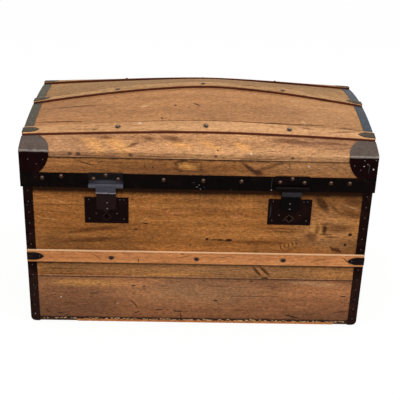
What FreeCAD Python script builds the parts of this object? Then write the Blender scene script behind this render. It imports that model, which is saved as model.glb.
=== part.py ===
import FreeCAD, Part
import Sketcher
import math
import os
import re

# Dome top trunk: a boarded wooden box on cross boards, with a lid whose top boards are bent
# both ways, iron edging, wooden slats, two front hasp locks, two end handles and two back hinges.
# Millimetres. X runs to the trunk's right, Y to its back and Z up; the origin is on the floor
# under the middle of the trunk. The front is at -Y.

# ---------------------------------------------------------------- driving dimensions

SIZES = {
    # body boards
    "body_width": 798,           # wooden body, end to end
    "body_depth": 475,           # wooden body, front to back
    "board_thickness": 14,
    "seam_height": 374,          # top edge of the body, where the lid closes
    "lower_board_height": 121.7,   # lower front and back boards
    "board_gap": 0.3,            # open joint between two boards
    "bottom_corner_round": 7,    # rounding of the body's lower end corners
    # bottom boards, laid front to back
    "floor_thickness": 8,
    "outer_floor_thickness": 6.5,
    "floor_joint_left": 288,     # left joint, measured from the middle
    "floor_joint_right": 344,
    "floor_inset": 2,            # bottom boards end short of the walls' faces
    # iron sheet
    "iron_thickness": 1,
    "edging_leg": 22,            # leg of the corner and lid edging
    "edging_foot_round": 12,
    "edging_foot_gap": 2,        # foot of the corner edging above the floor
    # front and back battens
    "batten_height": 30,
    "batten_thickness": 8,
    "batten_level": 187.4,        # middle of the batten above the floor
    "batten_end_gap": 1,         # batten end short of the body's end
    "clasp_length": 39,          # iron clasps on batten and slat ends
    "clasp_width": 20,
    "clasp_curve": 30,           # radius of each side of a clasp's pointed end
    # lid
    "lid_overhang": 4,           # lid boards beyond the body boards, all round
    "lid_gap": 0.3,              # between the closed lid and the body
    "bend_rise": 79.5,           # from the seam to where the lid's front wall turns into its top
    "end_rise": 32.5,            # rise of the lid's ends above the bend
    "bow_rise": 47.6,            # extra rise at mid-length
    "arch_power": 0.7,           # fullness of the ends' arch; lower is fuller
    "crown_power": 1.125,        # how fast the bow fades towards the bends
    "bow_power": 1.53,           # roundness of the bow along the lid; 2 is a parabola
    "crest_shift": 26.7,         # the crest sits this far right of the middle
    "top_board_thickness": 12,
    "nose_length_gap": 69,       # plain ends of the front nosing, under the corner irons
    "slat_width": 31,
    "slat_thickness": 6,
    "slat_setback": 66.3,        # middle of the outer slats from the lid's front and back
    "seat_gap": 0.1,             # between curved faces that seat on each other
    "rib_width": 24,
    "rib_depth": 32,
    "corner_iron_radius": 67,
    "band_height": 36,
    "band_lip": 8,             # the band hangs this far below the seam
    # locks and hasps
    "left_lock_inset": 188.5,    # middle of the left lock, in from the body's left end
    "right_lock_inset": 186.5,
    "left_lock_drop": 66.5,        # middle of the left lock plate below the seam
    "right_lock_drop": 63,
    "left_hasp_rise": 0,       # hasp pin above the seam
    "right_hasp_rise": 1.1,
    "lock_plate_width": 101,
    "lock_plate_height": 66,
    "lock_plate_thickness": 1.5,
    "keyhole_drop": 16,          # keyhole below the middle of the plate
    "keyhole_radius": 3,
    "keyhole_slot_width": 3,
    "keyhole_slot_length": 9,
    "diamond_reach": 11.5,         # half diagonal of the raised diamond round the keyhole
    "diamond_thickness": 0.5,
    "case_width": 76,
    "case_height": 54,
    "case_depth": 9.5,
    "hinge_plate_width": 78,
    "knuckle_radius": 5,
    "pin_radius": 2,
    "pin_clearance": 0.08,
    "knuckle_gap": 0.3,
    "running_gap": 0.4,          # between parts that swing past each other
    "hinge_plate_rise": 2,       # hinge plate above the band's top edge
    "hinge_plate_drop": 3,       # and below the hasp pin
    "knuckle_neck": 5,           # height of the neck between plate and knuckle
    "hasp_width": 45,
    "left_hasp_length": 62,      # pin to shoulder of the hasp
    "right_hasp_length": 56,
    "hasp_tip": 8,               # pointed tip beyond the shoulder
    "hasp_thickness": 3,
    "hasp_strap_length": 16,
    "hasp_strap_thickness": 2.4,
    "staple_rise": 11,           # middle of the staple above the hasp's shoulder
    "staple_height": 15,
    "staple_width": 3,
    "staple_wire": 2.5,
    "staple_reach": 9,
    "staple_end": 0.5,           # riveted ends of the staple, proud of the hasp
    "staple_room": 1,            # free room round the staple
    "bolt_width": 6,
    "bolt_thickness": 3,
    "bolt_length": 22,
    "bolt_travel": 9,
    "bolt_gap": 0.3,
    # end handles
    "handle_level": 262,
    "handle_span": 128,          # between the middles of the two arms
    "handle_drop": 44,
    "handle_rod": 4.5,           # radius of the bail
    "handle_bend": 12,
    "handle_pin_radius": 3.5,
    "handle_standoff": 11,       # bail axis from the wood
    "bracket_width": 14,
    "bracket_height": 44,
    "bracket_plate": 2,
    "bracket_inset": 14,         # middle of a bracket inside the bail's arm
    "bracket_eye": 7,
    # back hinges
    "hinge_inset": 149,          # middle of each back hinge in from the body's end
    "hinge_width": 70,
    "hinge_leaf_height": 42,
    "hinge_leaf_thickness": 1.5,
    "hinge_knuckle_radius": 4.5,
    "hinge_web_low": 3,          # the body leaf's web starts this far below the knuckles
    "hinge_web_high": 2.5,       # and ends this far below the pin
    # nails and rivets
    "tack_radius": 1.5,
    "tack_height": 0.9,
    "slat_nail_radius": 4.3,
    "slat_nail_height": 2,
    "rivet_radius": 5,
    "rivet_height": 2.8,
    "edging_tack_pitch": 27,
    "lid_tack_pitch": 34,
    "batten_tack_gap": 4,        # the edging's tacks keep this far from the battens,
    "top_tack_gap": 12,          # this far from the lid's lip,
    "slat_tack_gap": 5,          # this far from the slats
    "corner_tack_gap": 14,       # and this far from the corner irons
    "batten_nail_drop": 2,       # batten nails below the batten's middle
    "left_outer_rivet_gap": 50,  # band rivets, measured in from the lid's ends
    "right_outer_rivet_gap": 60,
    "second_rivet_step": 43,     # from each outer rivet to the next
    "left_inner_rivet": 80,      # band rivets beside the middle one
    "middle_rivet": 10,
    "right_inner_rivet": 97,
    "back_rivet_place": 88,
    "side_rivet_place": 145.5,
    "rivet_level": 22.5,         # band rivets above the band's lower edge
    "raised_rivet": 5,           # the second rivet from the left sits higher
    "plate_rivet_pitch": 27.7,   # three rivets of a hasp's hinge plate
    "plate_rivet_low": 13.7,     # outer two below the band's top edge
    "plate_rivet_high": 4.5,     # middle one below the band's top edge
    "plate_nail_side": 40,       # lock plate's corner nails from its middle
    "plate_nail_top": 27,
    "plate_nail_bottom": 22,
    "spare_nail_step": 9,        # an extra nail beside the top right corner nail
    "case_nail_side": 24,        # nails beside the keyhole
    "case_nail_drop": 8,
}

# The hasp's pointed end: shares of half its width, and of the tip's length below the shoulder.
OGEE = ((1, -0.2), (0.8, 0), (0.42, 0.08), (0.16, 0.62))
# Tacks of a corner iron, as shares of its radius away from the corner: on its upright faces
# along and down, on its top along and back.
FACE_TACKS = ((0.3, 0.3), (0.58, 0.47), (0.8, 0.31))
TOP_TACKS = ((0.12, 0.33), (0.36, 0.25), (0.3, 0.7), (0.66, 0.46), (0.86, 0.2))
# Nails along the nosing, as shares of half the lid's length.
NOSE_NAILS = (-0.718, -0.677, -0.382, 0.087, 0.517)
# The three nails of each batten and slat, as shares of half the body's width.
BATTEN_NAILS = (-0.504, 0, 0.516)
OUTER_SLAT_NAILS = (-0.469, 0.035, 0.514)
MIDDLE_SLAT_NAILS = (-0.499, 0.025, 0.516)

doc = FreeCAD.newDocument("DomeTopTrunk")
sheet = doc.addObject("Spreadsheet::Sheet", "Dims")
for row, (alias, number) in enumerate(SIZES.items(), start=1):
    sheet.set(f"A{row}", alias)
    sheet.set(f"B{row}", str(number))
    sheet.setAlias(f"B{row}", alias)
doc.recompute()
size = {alias: float(sheet.get(alias)) for alias in SIZES}

# Lengths that follow from the driving dimensions, as sheet expressions.
HALF_BODY = "body_width/2"
HALF_DEPTH = "body_depth/2"
HALF_LID = f"({HALF_BODY} + lid_overhang)"
HALF_LID_DEPTH = f"({HALF_DEPTH} + lid_overhang)"
LID_OUTER = f"({HALF_LID} + iron_thickness)"
LID_OUTER_DEPTH = f"({HALF_LID_DEPTH} + iron_thickness)"
BAND_TOP = "(seam_height - band_lip + band_height)"
LID_BOTTOM = "(seam_height + lid_gap)"
BEND = "(seam_height + bend_rise)"
DOME_ROOF = f"({BEND} + end_rise + bow_rise + 2*slat_thickness)"
NOSE_BOTTOM = f"({BEND} - top_board_thickness)"
HASP_PIN_DEPTH = f"({LID_OUTER_DEPTH} + iron_thickness + running_gap + knuckle_radius)"
HINGE_PIN_DEPTH = f"({LID_OUTER_DEPTH} + knuckle_gap + hinge_knuckle_radius)"

parts = []


# ---------------------------------------------------------------- helpers

def linked(text):
    """The expression with every driving dimension's name pointing at the sheet."""
    return re.sub(r"[a-z][a-z_]+", lambda word: "Dims." + word.group() if word.group() in SIZES
                  else word.group(), text)


def bind(item, prop, text):
    item.setExpression(prop, linked(text))


def place(item, x, y, z):
    for axis, text in (("x", x), ("y", y), ("z", z)):
        bind(item, f"Placement.Base.{axis}", text)
    return item


def box(name, x, y, z):
    """A block between a low and a high expression on each axis."""
    item = doc.addObject("Part::Box", name)
    for length, (low, high) in zip(("Length", "Width", "Height"), (x, y, z)):
        bind(item, length, f"({high}) - ({low})")
    return place(item, x[0], y[0], z[0])


TURN = {
    "x": FreeCAD.Rotation(FreeCAD.Vector(0, 1, 0), 90),
    "y": FreeCAD.Rotation(FreeCAD.Vector(1, 0, 0), -90),
    "z": FreeCAD.Rotation(),
}


def rod(name, axis, radius, length, start):
    """A cylinder that runs from start along +axis."""
    item = doc.addObject("Part::Cylinder", name)
    item.Placement = FreeCAD.Placement(FreeCAD.Vector(), TURN[axis])
    bind(item, "Radius", radius)
    bind(item, "Height", length)
    return place(item, *start)


def join(name, *items):
    item = doc.addObject("Part::MultiFuse", name)
    item.Shapes = list(items)
    return item


def cut(name, base, *tools):
    item = doc.addObject("Part::Cut", name)
    item.Base = base
    item.Tool = tools[0] if len(tools) == 1 else join(name + "_cutter", *tools)
    return item


def common(name, base, tool):
    item = doc.addObject("Part::Common", name)
    item.Base = base
    item.Tool = tool
    return item


def mirror(name, source, across):
    item = doc.addObject("Part::Mirroring", name)
    item.Source = source
    item.Normal = FreeCAD.Vector(1, 0, 0) if across == "x" else FreeCAD.Vector(0, 1, 0)
    return item


def group(name, *items):
    item = doc.addObject("Part::Compound", name)
    item.Links = list(items)
    return item


def solid(name, shape):
    """A piece whose shape comes from Part's own functions."""
    item = doc.addObject("Part::Feature", name)
    item.Shape = shape
    return item


def keep(node, item):
    """Names a finished piece and puts it on the list of nodes to write."""
    item.Label = node
    parts.append(item)
    return item


def origin_plane(body, role):
    return next(plane for plane in body.Origin.OriginFeatures if plane.Role == role)


def attached_sketch(body, name, role):
    sketch = body.newObject("Sketcher::SketchObject", name)
    sketch.AttachmentSupport = (origin_plane(body, role), "")
    sketch.MapMode = "FlatFace"
    return sketch


def pin_point(sketch, geometry, position, start, x, y):
    """Ties a sketch point's distances from the origin to two expressions."""
    for kind, text, now in (("DistanceX", x, start.x), ("DistanceY", y, start.y)):
        constraint = Sketcher.Constraint(kind, -1, 1, geometry, position, now)
        index = sketch.addConstraint(constraint)
        bind(sketch, f"Constraints[{index}]", text)


def polygon(body, name, role, corners):
    """A closed straight-sided sketch whose corners are pairs of expressions."""
    sketch = attached_sketch(body, name, role)
    count = len(corners)
    ring = [FreeCAD.Vector(math.cos(math.tau * i / count), math.sin(math.tau * i / count), 0) * 20
            for i in range(count)]
    for i in range(count):
        sketch.addGeometry(Part.LineSegment(ring[i], ring[(i + 1) % count]), False)
    for i in range(count):
        sketch.addConstraint(Sketcher.Constraint("Coincident", i, 2, (i + 1) % count, 1))
    for i, (x, y) in enumerate(corners):
        pin_point(sketch, i, 1, ring[i], x, y)
    return sketch


def circle(body, name, role, x, y, radius):
    sketch = attached_sketch(body, name, role)
    start = FreeCAD.Vector(1, 1, 0)
    sketch.addGeometry(Part.Circle(start, FreeCAD.Vector(0, 0, 1), 2), False)
    pin_point(sketch, 0, 3, start, x, y)
    index = sketch.addConstraint(Sketcher.Constraint("Radius", 0, 2))
    bind(sketch, f"Constraints[{index}]", radius)
    return sketch


def pad(body, name, sketch, length, backward=False):
    item = body.newObject("PartDesign::Pad", name)
    item.Profile = sketch
    item.Reversed = backward
    bind(item, "Length", length)
    return item


def pocket(body, name, sketch, length, backward=False):
    """A pocket; it has to take some volume away, or its direction is wrong."""
    before = body.Tip.Shape.Volume
    item = body.newObject("PartDesign::Pocket", name)
    item.Profile = sketch
    item.Reversed = backward
    bind(item, "Length", length)
    doc.recompute()
    if item.Shape.Volume >= before:
        raise RuntimeError(f"{name} cuts nothing")
    return item


def round_edges(body, name, radius, wanted):
    """Fillets the edges of the body's tip whose middle point passes the test."""
    doc.recompute()
    base = body.Tip
    names = [f"Edge{i}" for i, edge in enumerate(base.Shape.Edges, start=1)
             if wanted(edge.CenterOfMass, edge.Length)]
    item = body.newObject("PartDesign::Fillet", name)
    item.Base = (base, names)
    bind(item, "Radius", radius)
    return item


# ---------------------------------------------------------------- body boards

def body_board(node, front, low, high, rounded):
    """A lengthwise wall board, padded through its thickness from its inner face outwards."""
    body = doc.addObject("PartDesign::Body", node)
    corners = [(f"-{HALF_BODY}", low), (HALF_BODY, low), (HALF_BODY, high), (f"-{HALF_BODY}", high)]
    outline = polygon(body, node + "_outline", "XZ_Plane", corners)
    pad(body, node + "_pad", outline, "board_thickness", backward=not front)
    inner = f"{HALF_DEPTH} - board_thickness"
    bind(body, "Placement.Base.y", f"-({inner})" if front else inner)
    if rounded:
        reach = size["body_width"] / 2 - 1
        round_edges(body, node + "_corners", "bottom_corner_round",
                    lambda middle, length: abs(middle.x) > reach and middle.z < size["floor_thickness"] + 1
                    and length < size["board_thickness"] + 1)
    return body


def body_walls():
    joint = "(floor_thickness + lower_board_height)"
    for side in ("front", "back"):
        front = side == "front"
        keep(f"{side}_board_lower", body_board(f"{side}_board_lower", front, "floor_thickness", joint, True))
        upper = body_board(f"{side}_board_upper_blank", front, f"{joint} + board_gap", "seam_height", False)
        if front:
            upper = cut("front_board_upper", upper, *[lock_mortise(hand) for hand in ("left", "right")])
        keep(f"{side}_board_upper", upper)
    inner = f"{HALF_DEPTH} - board_thickness - board_gap"
    for hand in ("left", "right"):
        body = doc.addObject("PartDesign::Body", f"{hand}_end_board")
        corners = [(f"-({inner})", "floor_thickness"), (inner, "floor_thickness"),
                   (inner, "seam_height"), (f"-({inner})", "seam_height")]
        outline = polygon(body, f"{hand}_end_outline", "YZ_Plane", corners)
        pad(body, f"{hand}_end_pad", outline, "board_thickness", backward=hand == "right")
        bind(body, "Placement.Base.x", HALF_BODY if hand == "right" else f"-{HALF_BODY}")
        round_edges(body, f"{hand}_end_corner", "bottom_corner_round",
                    lambda middle, length: middle.z < size["floor_thickness"] + 1
                    and length > size["body_depth"] / 2 and on_outer_face(middle, hand))
        keep(f"{hand}_end_board", body)


def on_outer_face(middle, hand):
    """True on the outer side of an end board, in the board's own frame."""
    inward = middle.x if hand == "left" else -middle.x
    return inward < size["board_thickness"] / 2


def bottom_boards():
    depth = f"{HALF_DEPTH} - floor_inset"
    end = f"({HALF_BODY} - floor_inset)"
    low = "floor_thickness - outer_floor_thickness"
    spans = {
        "left": (f"-{end}", "-floor_joint_left - board_gap", low),
        "middle": ("-floor_joint_left", "floor_joint_right", "0"),
        "right": ("floor_joint_right + board_gap", end, low),
    }
    for name, (start, stop, bottom) in spans.items():
        keep(f"bottom_board_{name}", box(f"bottom_board_{name}", (start, stop), (f"-({depth})", depth),
                                         (bottom, "floor_thickness")))


# ---------------------------------------------------------------- iron edging of the body

def corner_edging():
    """An angle strip up each corner, its foot rounded off; made once and mirrored."""
    outer = f"({HALF_BODY} + iron_thickness)"
    outer_depth = f"({HALF_DEPTH} + iron_thickness)"
    heights = ("edging_foot_gap", "seam_height")
    front_leg = box("edging_front_leg", (f"-{outer}", f"-{outer} + edging_leg"),
                    (f"-{outer_depth}", f"-{HALF_DEPTH}"), heights)
    side_leg = box("edging_side_leg", (f"-{outer}", f"-{HALF_BODY}"),
                   (f"-{outer_depth}", f"-{outer_depth} + edging_leg"),
                   ("edging_foot_gap + edging_foot_round", "seam_height"))
    corner = box("edging_foot_corner", (f"-{outer} - 1", f"-{outer} + edging_foot_round"),
                 (f"-{outer_depth} - 1", f"-{HALF_DEPTH} + 1"),
                 ("edging_foot_gap - 1", "edging_foot_gap + edging_foot_round"))
    round_off = rod("edging_foot_rounding", "y", "edging_foot_round", "edging_leg",
                    (f"-{outer} + edging_foot_round", f"-{outer_depth} - 2",
                     "edging_foot_gap + edging_foot_round"))
    foot = cut("edging_foot_waste", corner, round_off)
    front_left = cut("corner_edging_front_left", join("edging_angle", front_leg, side_leg), foot)
    keep("corner_edging_front_left", front_left)
    keep("corner_edging_front_right", mirror("corner_edging_front_right", front_left, "x"))
    back_left = mirror("corner_edging_back_left", front_left, "y")
    keep("corner_edging_back_left", back_left)
    keep("corner_edging_back_right", mirror("corner_edging_back_right", back_left, "x"))


# ---------------------------------------------------------------- battens

# Length of a clasp's pointed end, from its full width to its tip.
CLASP_POINT = "sqrt(clasp_curve^2 - (clasp_curve - clasp_width/2)^2)"
BATTEN_BACK = f"({HALF_DEPTH} + seat_gap)"
BATTEN_FACE = f"({HALF_DEPTH} + batten_thickness)"
BATTEN_END = f"({HALF_BODY} - batten_end_gap)"


def clasp_point(name, axis, x, line, start, length):
    """A clasp's end, pointed both ways from x: what two large circles share."""
    offset = "(clasp_curve - clasp_width/2)"
    rods = []
    for tag, sign in (("low", "-"), ("high", "+")):
        across = f"{line} {sign} {offset}"
        spot = (x, start, across) if axis == "y" else (x, across, start)
        rods.append(rod(f"{name}_{tag}", axis, "clasp_curve", length, spot))
    return common(name, *rods)


def battens():
    low = "batten_level - batten_height/2"
    high = "batten_level + batten_height/2"
    blank = box("batten_blank", (f"-{BATTEN_END}", BATTEN_END),
                (f"-{BATTEN_FACE}", f"-{BATTEN_BACK}"), (low, high))
    rebate = box("batten_rebate_left",
                 (f"-{HALF_BODY} - 5", f"-{HALF_BODY} - iron_thickness + edging_leg + 1"),
                 (f"-{HALF_DEPTH} - iron_thickness - 2*seat_gap", f"-{HALF_DEPTH} + 1"),
                 (f"{low} - 1", f"{high} + 1"))
    front = cut("front_batten", blank, rebate, mirror("batten_rebate_right", rebate, "x"))
    keep("front_batten", front)
    keep("back_batten", mirror("back_batten", front, "y"))


def batten_clasps():
    """Four pointed iron straps folded over the ends of the two battens."""
    middle = "batten_level"
    inner = f"-{BATTEN_END} + clasp_length - {CLASP_POINT}"
    strap = box("clasp_strap", (f"-{BATTEN_END} - iron_thickness", inner),
                (f"-{BATTEN_FACE} - iron_thickness", f"-{BATTEN_FACE}"),
                (f"{middle} - clasp_width/2", f"{middle} + clasp_width/2"))
    face = f"-{BATTEN_FACE} - iron_thickness"
    lens = clasp_point("clasp_point", "y", inner, middle, face, "iron_thickness")
    window = box("clasp_point_window", (inner, f"{inner} + clasp_length"),
                 (f"-{BATTEN_FACE} - 2*iron_thickness", f"-{BATTEN_FACE} + iron_thickness"),
                 (f"{middle} - clasp_width", f"{middle} + clasp_width"))
    fold = box("clasp_fold", (f"-{BATTEN_END} - iron_thickness", f"-{BATTEN_END}"),
               (f"-{BATTEN_FACE} - iron_thickness", f"-{HALF_DEPTH} - iron_thickness - 2*seat_gap"),
               (f"{middle} - clasp_width/2", f"{middle} + clasp_width/2"))
    front_left = join("clasp_front_left", strap, common("clasp_front_point", lens, window), fold)
    front_right = mirror("clasp_front_right", front_left, "x")
    back_left = mirror("clasp_back_left", front_left, "y")
    back_right = mirror("clasp_back_right", back_left, "x")
    keep("batten_end_clasps", group("batten_end_clasps", front_left, front_right, back_left, back_right))


# ---------------------------------------------------------------- locks

def lock_middle(hand):
    """The lock's place along the trunk, as an expression."""
    away = f"({HALF_BODY} - {hand}_lock_inset)"
    return "-" + away if hand == "left" else away


def lock_level(hand):
    return f"(seam_height - {hand}_lock_drop)"


def hasp_level(hand):
    return f"(seam_height + {hand}_hasp_rise)"


def staple_level(hand):
    """Middle of the closed hasp's staple, above the floor."""
    return f"({hasp_level(hand)} - {hand}_hasp_length + staple_rise)"


def lock_mortise(hand):
    """The recess in the front board for the lock case, and the channel the staple rises in."""
    middle = lock_middle(hand)
    level = lock_level(hand)
    front = f"-{HALF_DEPTH}"
    floor = f"{front} + case_depth + bolt_gap"
    recess = box(f"{hand}_mortise",
                 (f"{middle} - case_width/2 - bolt_gap", f"{middle} + case_width/2 + bolt_gap"),
                 (f"{front} - 1", floor),
                 (f"{level} - case_height/2 - bolt_gap", f"{level} + case_height/2 + bolt_gap"))
    channel = box(f"{hand}_staple_channel",
                  (f"{middle} - staple_width/2 - staple_room", f"{middle} + staple_width/2 + staple_room"),
                  (f"{front} - 1", floor), (level, "seam_height + 1"))
    return join(f"{hand}_lock_recess", recess, channel)


def lock_plate(hand):
    """A flat plate with a raised diamond, a keyhole and a slot for the staple, open at the top."""
    node = f"{hand}_lock_plate"
    body = doc.addObject("PartDesign::Body", node)
    place(body, lock_middle(hand), f"-{HALF_DEPTH}", lock_level(hand))
    side = "lock_plate_width/2"
    top = "lock_plate_height/2"
    outline = polygon(body, node + "_outline", "XZ_Plane",
                      [(f"-{side}", f"-{top}"), (side, f"-{top}"), (side, top), (f"-{side}", top)])
    pad(body, node + "_sheet", outline, "lock_plate_thickness")
    diamond = polygon(body, node + "_diamond_outline", "XZ_Plane",
                      [("0", "-keyhole_drop - diamond_reach"), ("diamond_reach", "-keyhole_drop"),
                       ("0", "-keyhole_drop + diamond_reach"), ("-diamond_reach", "-keyhole_drop")])
    pad(body, node + "_diamond", diamond, "lock_plate_thickness + diamond_thickness")
    doc.recompute()
    through = "lock_plate_thickness + diamond_thickness + 1"
    key_middle = "-keyhole_drop + keyhole_radius"
    hole = circle(body, node + "_key_round", "XZ_Plane", "0", key_middle, "keyhole_radius")
    pocket(body, node + "_key_hole", hole, through, backward=True)
    slot_side = "keyhole_slot_width/2"
    slot_low = f"{key_middle} - keyhole_slot_length"
    slot = polygon(body, node + "_key_slot_outline", "XZ_Plane",
                   [(f"-{slot_side}", slot_low), (slot_side, slot_low),
                    (slot_side, key_middle), (f"-{slot_side}", key_middle)])
    pocket(body, node + "_key_slot", slot, through, backward=True)
    room = "staple_width/2 + staple_room"
    low = f"{staple_level(hand)} - staple_height/2 - staple_room - {lock_level(hand)}"
    notch = polygon(body, node + "_notch_outline", "XZ_Plane",
                    [(f"-({room})", low), (room, low), (room, f"{top} + 1"), (f"-({room})", f"{top} + 1")])
    pocket(body, node + "_notch", notch, through, backward=True)
    return keep(node, body)


def lock_case(hand):
    """The lock's body in the board: staple pocket, bolt channel and the keyhole's blind end."""
    middle = lock_middle(hand)
    level = lock_level(hand)
    staple = staple_level(hand)
    front = f"-{HALF_DEPTH}"
    block = box(f"{hand}_case_block", (f"{middle} - case_width/2", f"{middle} + case_width/2"),
                (front, f"{front} + case_depth"),
                (f"{level} - case_height/2", f"{level} + case_height/2"))
    staple_pocket = box(f"{hand}_staple_pocket",
                        (f"{middle} - staple_width/2 - staple_room",
                         f"{middle} + staple_width/2 + staple_room"),
                        (f"{front} - 1", f"{front} + case_depth - 1"),
                        (f"{staple} - staple_height/2 - staple_room", f"{level} + case_height/2 + 1"))
    bolt_room = box(f"{hand}_bolt_room",
                    (f"{middle} - staple_width/2 - staple_room - bolt_travel",
                     f"{middle} + staple_width/2 + staple_room + bolt_length + bolt_gap"),
                    (f"{front} + 1 - bolt_gap", f"{front} + 1 + bolt_thickness + bolt_gap"),
                    (f"{staple} - bolt_width/2 - bolt_gap", f"{staple} + bolt_width/2 + bolt_gap"))
    key_room = rod(f"{hand}_key_room", "y", "keyhole_radius", "case_depth/2 + 1",
                   (middle, f"{front} - 1", f"{level} - keyhole_drop + keyhole_radius"))
    key_slot = box(f"{hand}_key_slot_room",
                   (f"{middle} - keyhole_slot_width/2", f"{middle} + keyhole_slot_width/2"),
                   (f"{front} - 1", f"{front} + case_depth/2"),
                   (f"{level} - keyhole_drop + keyhole_radius - keyhole_slot_length",
                    f"{level} - keyhole_drop + keyhole_radius"))
    return keep(f"{hand}_lock_case",
                cut(f"{hand}_lock_case", block, staple_pocket, bolt_room, key_room, key_slot))


def lock_bolt(hand):
    """The sliding bolt, drawn back; it shoots to the left through the staple."""
    start = f"{lock_middle(hand)} + staple_width/2 + staple_room"
    staple = staple_level(hand)
    front = f"-{HALF_DEPTH} + 1"
    return keep(f"{hand}_lock_bolt",
                box(f"{hand}_lock_bolt", (start, f"{start} + bolt_length"),
                    (front, f"{front} + bolt_thickness"),
                    (f"{staple} - bolt_width/2", f"{staple} + bolt_width/2")))


# ---------------------------------------------------------------- hasps and their hinges

def hasp_hinge_plate(hand):
    """The lid's half of the hasp hinge: a plate on the band and a knuckle at each side."""
    node = f"{hand}_hasp_hinge_plate"
    middle = lock_middle(hand)
    pin = hasp_level(hand)
    back = f"-{LID_OUTER_DEPTH}"
    sheet_metal = box(node + "_sheet", (f"{middle} - hinge_plate_width/2", f"{middle} + hinge_plate_width/2"),
                      (f"{back} - iron_thickness", back),
                      (f"{pin} - hinge_plate_drop", f"{BAND_TOP} + hinge_plate_rise"))
    side_length = "(hinge_plate_width - hasp_width)/2 - knuckle_gap"
    pieces = [sheet_metal]
    holes = []
    starts = {"a": f"{middle} - hinge_plate_width/2", "b": f"{middle} + hasp_width/2 + knuckle_gap"}
    for tag, start in starts.items():
        pieces.append(rod(f"{node}_knuckle_{tag}", "x", "knuckle_radius", side_length,
                          (start, f"-{HASP_PIN_DEPTH}", pin)))
        pieces.append(box(f"{node}_neck_{tag}", (start, f"{start} + {side_length}"),
                          (f"-{HASP_PIN_DEPTH} + pin_radius", f"{back} - iron_thickness/2"),
                          (f"{pin} - knuckle_neck/2", f"{pin} + knuckle_neck/2")))
        holes.append(rod(f"{node}_bore_{tag}", "x", "pin_radius + pin_clearance", f"{side_length} + 2",
                         (f"{start} - 1", f"-{HASP_PIN_DEPTH}", pin)))
    return keep(node, cut(node, join(node + "_blank", *pieces), *holes))


def hasp_hinge_pins():
    pins = [rod(f"{hand}_hasp_pin", "x", "pin_radius", "hinge_plate_width",
                (f"{lock_middle(hand)} - hinge_plate_width/2", f"-{HASP_PIN_DEPTH}", hasp_level(hand)))
            for hand in ("left", "right")]
    return keep("hasp_hinge_pins", group("hasp_hinge_pins", *pins))


def hasp(hand):
    """Knuckle and strap, a step back to the tongue, the pointed tongue and the staple through it."""
    node = f"{hand}_hasp"
    middle = lock_middle(hand)
    pin = hasp_level(hand)
    side = "hasp_width/2"
    plate_face = f"({HALF_DEPTH} + lock_plate_thickness + diamond_thickness + bolt_gap)"
    strap_face = f"({HASP_PIN_DEPTH} + knuckle_radius)"
    barrel = rod(node + "_barrel", "x", "knuckle_radius", "hasp_width",
                 (f"{middle} - {side}", f"-{HASP_PIN_DEPTH}", pin))
    strap = box(node + "_strap", (f"{middle} - {side}", f"{middle} + {side}"),
                (f"-{strap_face}", f"-{strap_face} + hasp_strap_thickness"),
                (f"{pin} - hasp_strap_length", pin))
    step = box(node + "_step", (f"{middle} - {side}", f"{middle} + {side}"),
               (f"-{strap_face}", f"-{plate_face}"),
               (f"{pin} - hasp_strap_length - hasp_strap_thickness", f"{pin} - hasp_strap_length"))
    tongue = doc.addObject("PartDesign::Body", node + "_tongue")
    place(tongue, middle, f"-{plate_face}", pin)
    top = "-hasp_strap_length - hasp_strap_thickness/2"
    ogee = [(f"{side}*{share}", f"-{hand}_hasp_length - hasp_tip*{drop}") for share, drop in OGEE]
    corners = [(f"-{side}", top)]
    corners += [(f"-{x}", z) for x, z in ogee]
    corners += [("0", f"-{hand}_hasp_length - hasp_tip")]
    corners += ogee[::-1] + [(side, top)]
    outline = polygon(tongue, node + "_tongue_outline", "XZ_Plane", corners)
    pad(tongue, node + "_tongue_pad", outline, "hasp_thickness")
    centre = staple_level(hand)
    thick = "staple_width/2"
    legs = [box(f"{node}_staple_{tag}", (f"{middle} - {thick}", f"{middle} + {thick}"),
                (f"-{plate_face} - hasp_thickness - staple_end", f"-{plate_face} + staple_reach"),
                (low, f"{low} + staple_wire"))
            for tag, low in (("low", f"{centre} - staple_height/2"),
                             ("high", f"{centre} + staple_height/2 - staple_wire"))]
    bar = box(f"{node}_staple_bar", (f"{middle} - {thick}", f"{middle} + {thick}"),
              (f"-{plate_face} + staple_reach - staple_wire", f"-{plate_face} + staple_reach"),
              (f"{centre} - staple_height/2", f"{centre} + staple_height/2"))
    blank = join(node + "_blank", barrel, strap, step, tongue, bar, *legs)
    bore = rod(node + "_bore", "x", "pin_radius + pin_clearance", "hasp_width + 2",
               (f"{middle} - {side} - 1", f"-{HASP_PIN_DEPTH}", pin))
    return keep(node, cut(node, blank, bore))


# ---------------------------------------------------------------- end handles

def handle_axis():
    """Distance of the bail's axis from the trunk's middle plane."""
    return f"({HALF_BODY} + handle_standoff)"


def handle_brackets():
    """Two eye plates on each end, one near each arm of the bail."""
    pieces = []
    for tag, sign in (("front", "-"), ("back", "")):
        middle = f"{sign}(handle_span/2 - bracket_inset)"
        width = (f"{middle} - bracket_width/2", f"{middle} + bracket_width/2")
        plate = box(f"bracket_plate_{tag}", (f"-{HALF_BODY} - bracket_plate", f"-{HALF_BODY}"), width,
                    ("handle_level - bracket_height/2", "handle_level + bracket_height/2"))
        arm = box(f"bracket_arm_{tag}", (f"-{handle_axis()}", f"-{HALF_BODY} - bracket_plate/2"), width,
                  ("handle_level - bracket_eye*0.8", "handle_level + bracket_eye*0.8"))
        eye = rod(f"bracket_eye_{tag}", "y", "bracket_eye", "bracket_width",
                  (f"-{handle_axis()}", width[0], "handle_level"))
        bore = rod(f"bracket_bore_{tag}", "y", "handle_pin_radius + pin_clearance", "bracket_width + 2",
                   (f"-{handle_axis()}", f"{width[0]} - 1", "handle_level"))
        pieces.append(cut(f"bracket_{tag}", join(f"bracket_blank_{tag}", plate, arm, eye), bore))
    left = group("left_handle_brackets", *pieces)
    keep("handle_brackets", group("handle_brackets", left, mirror("right_handle_brackets", left, "x")))


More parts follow.
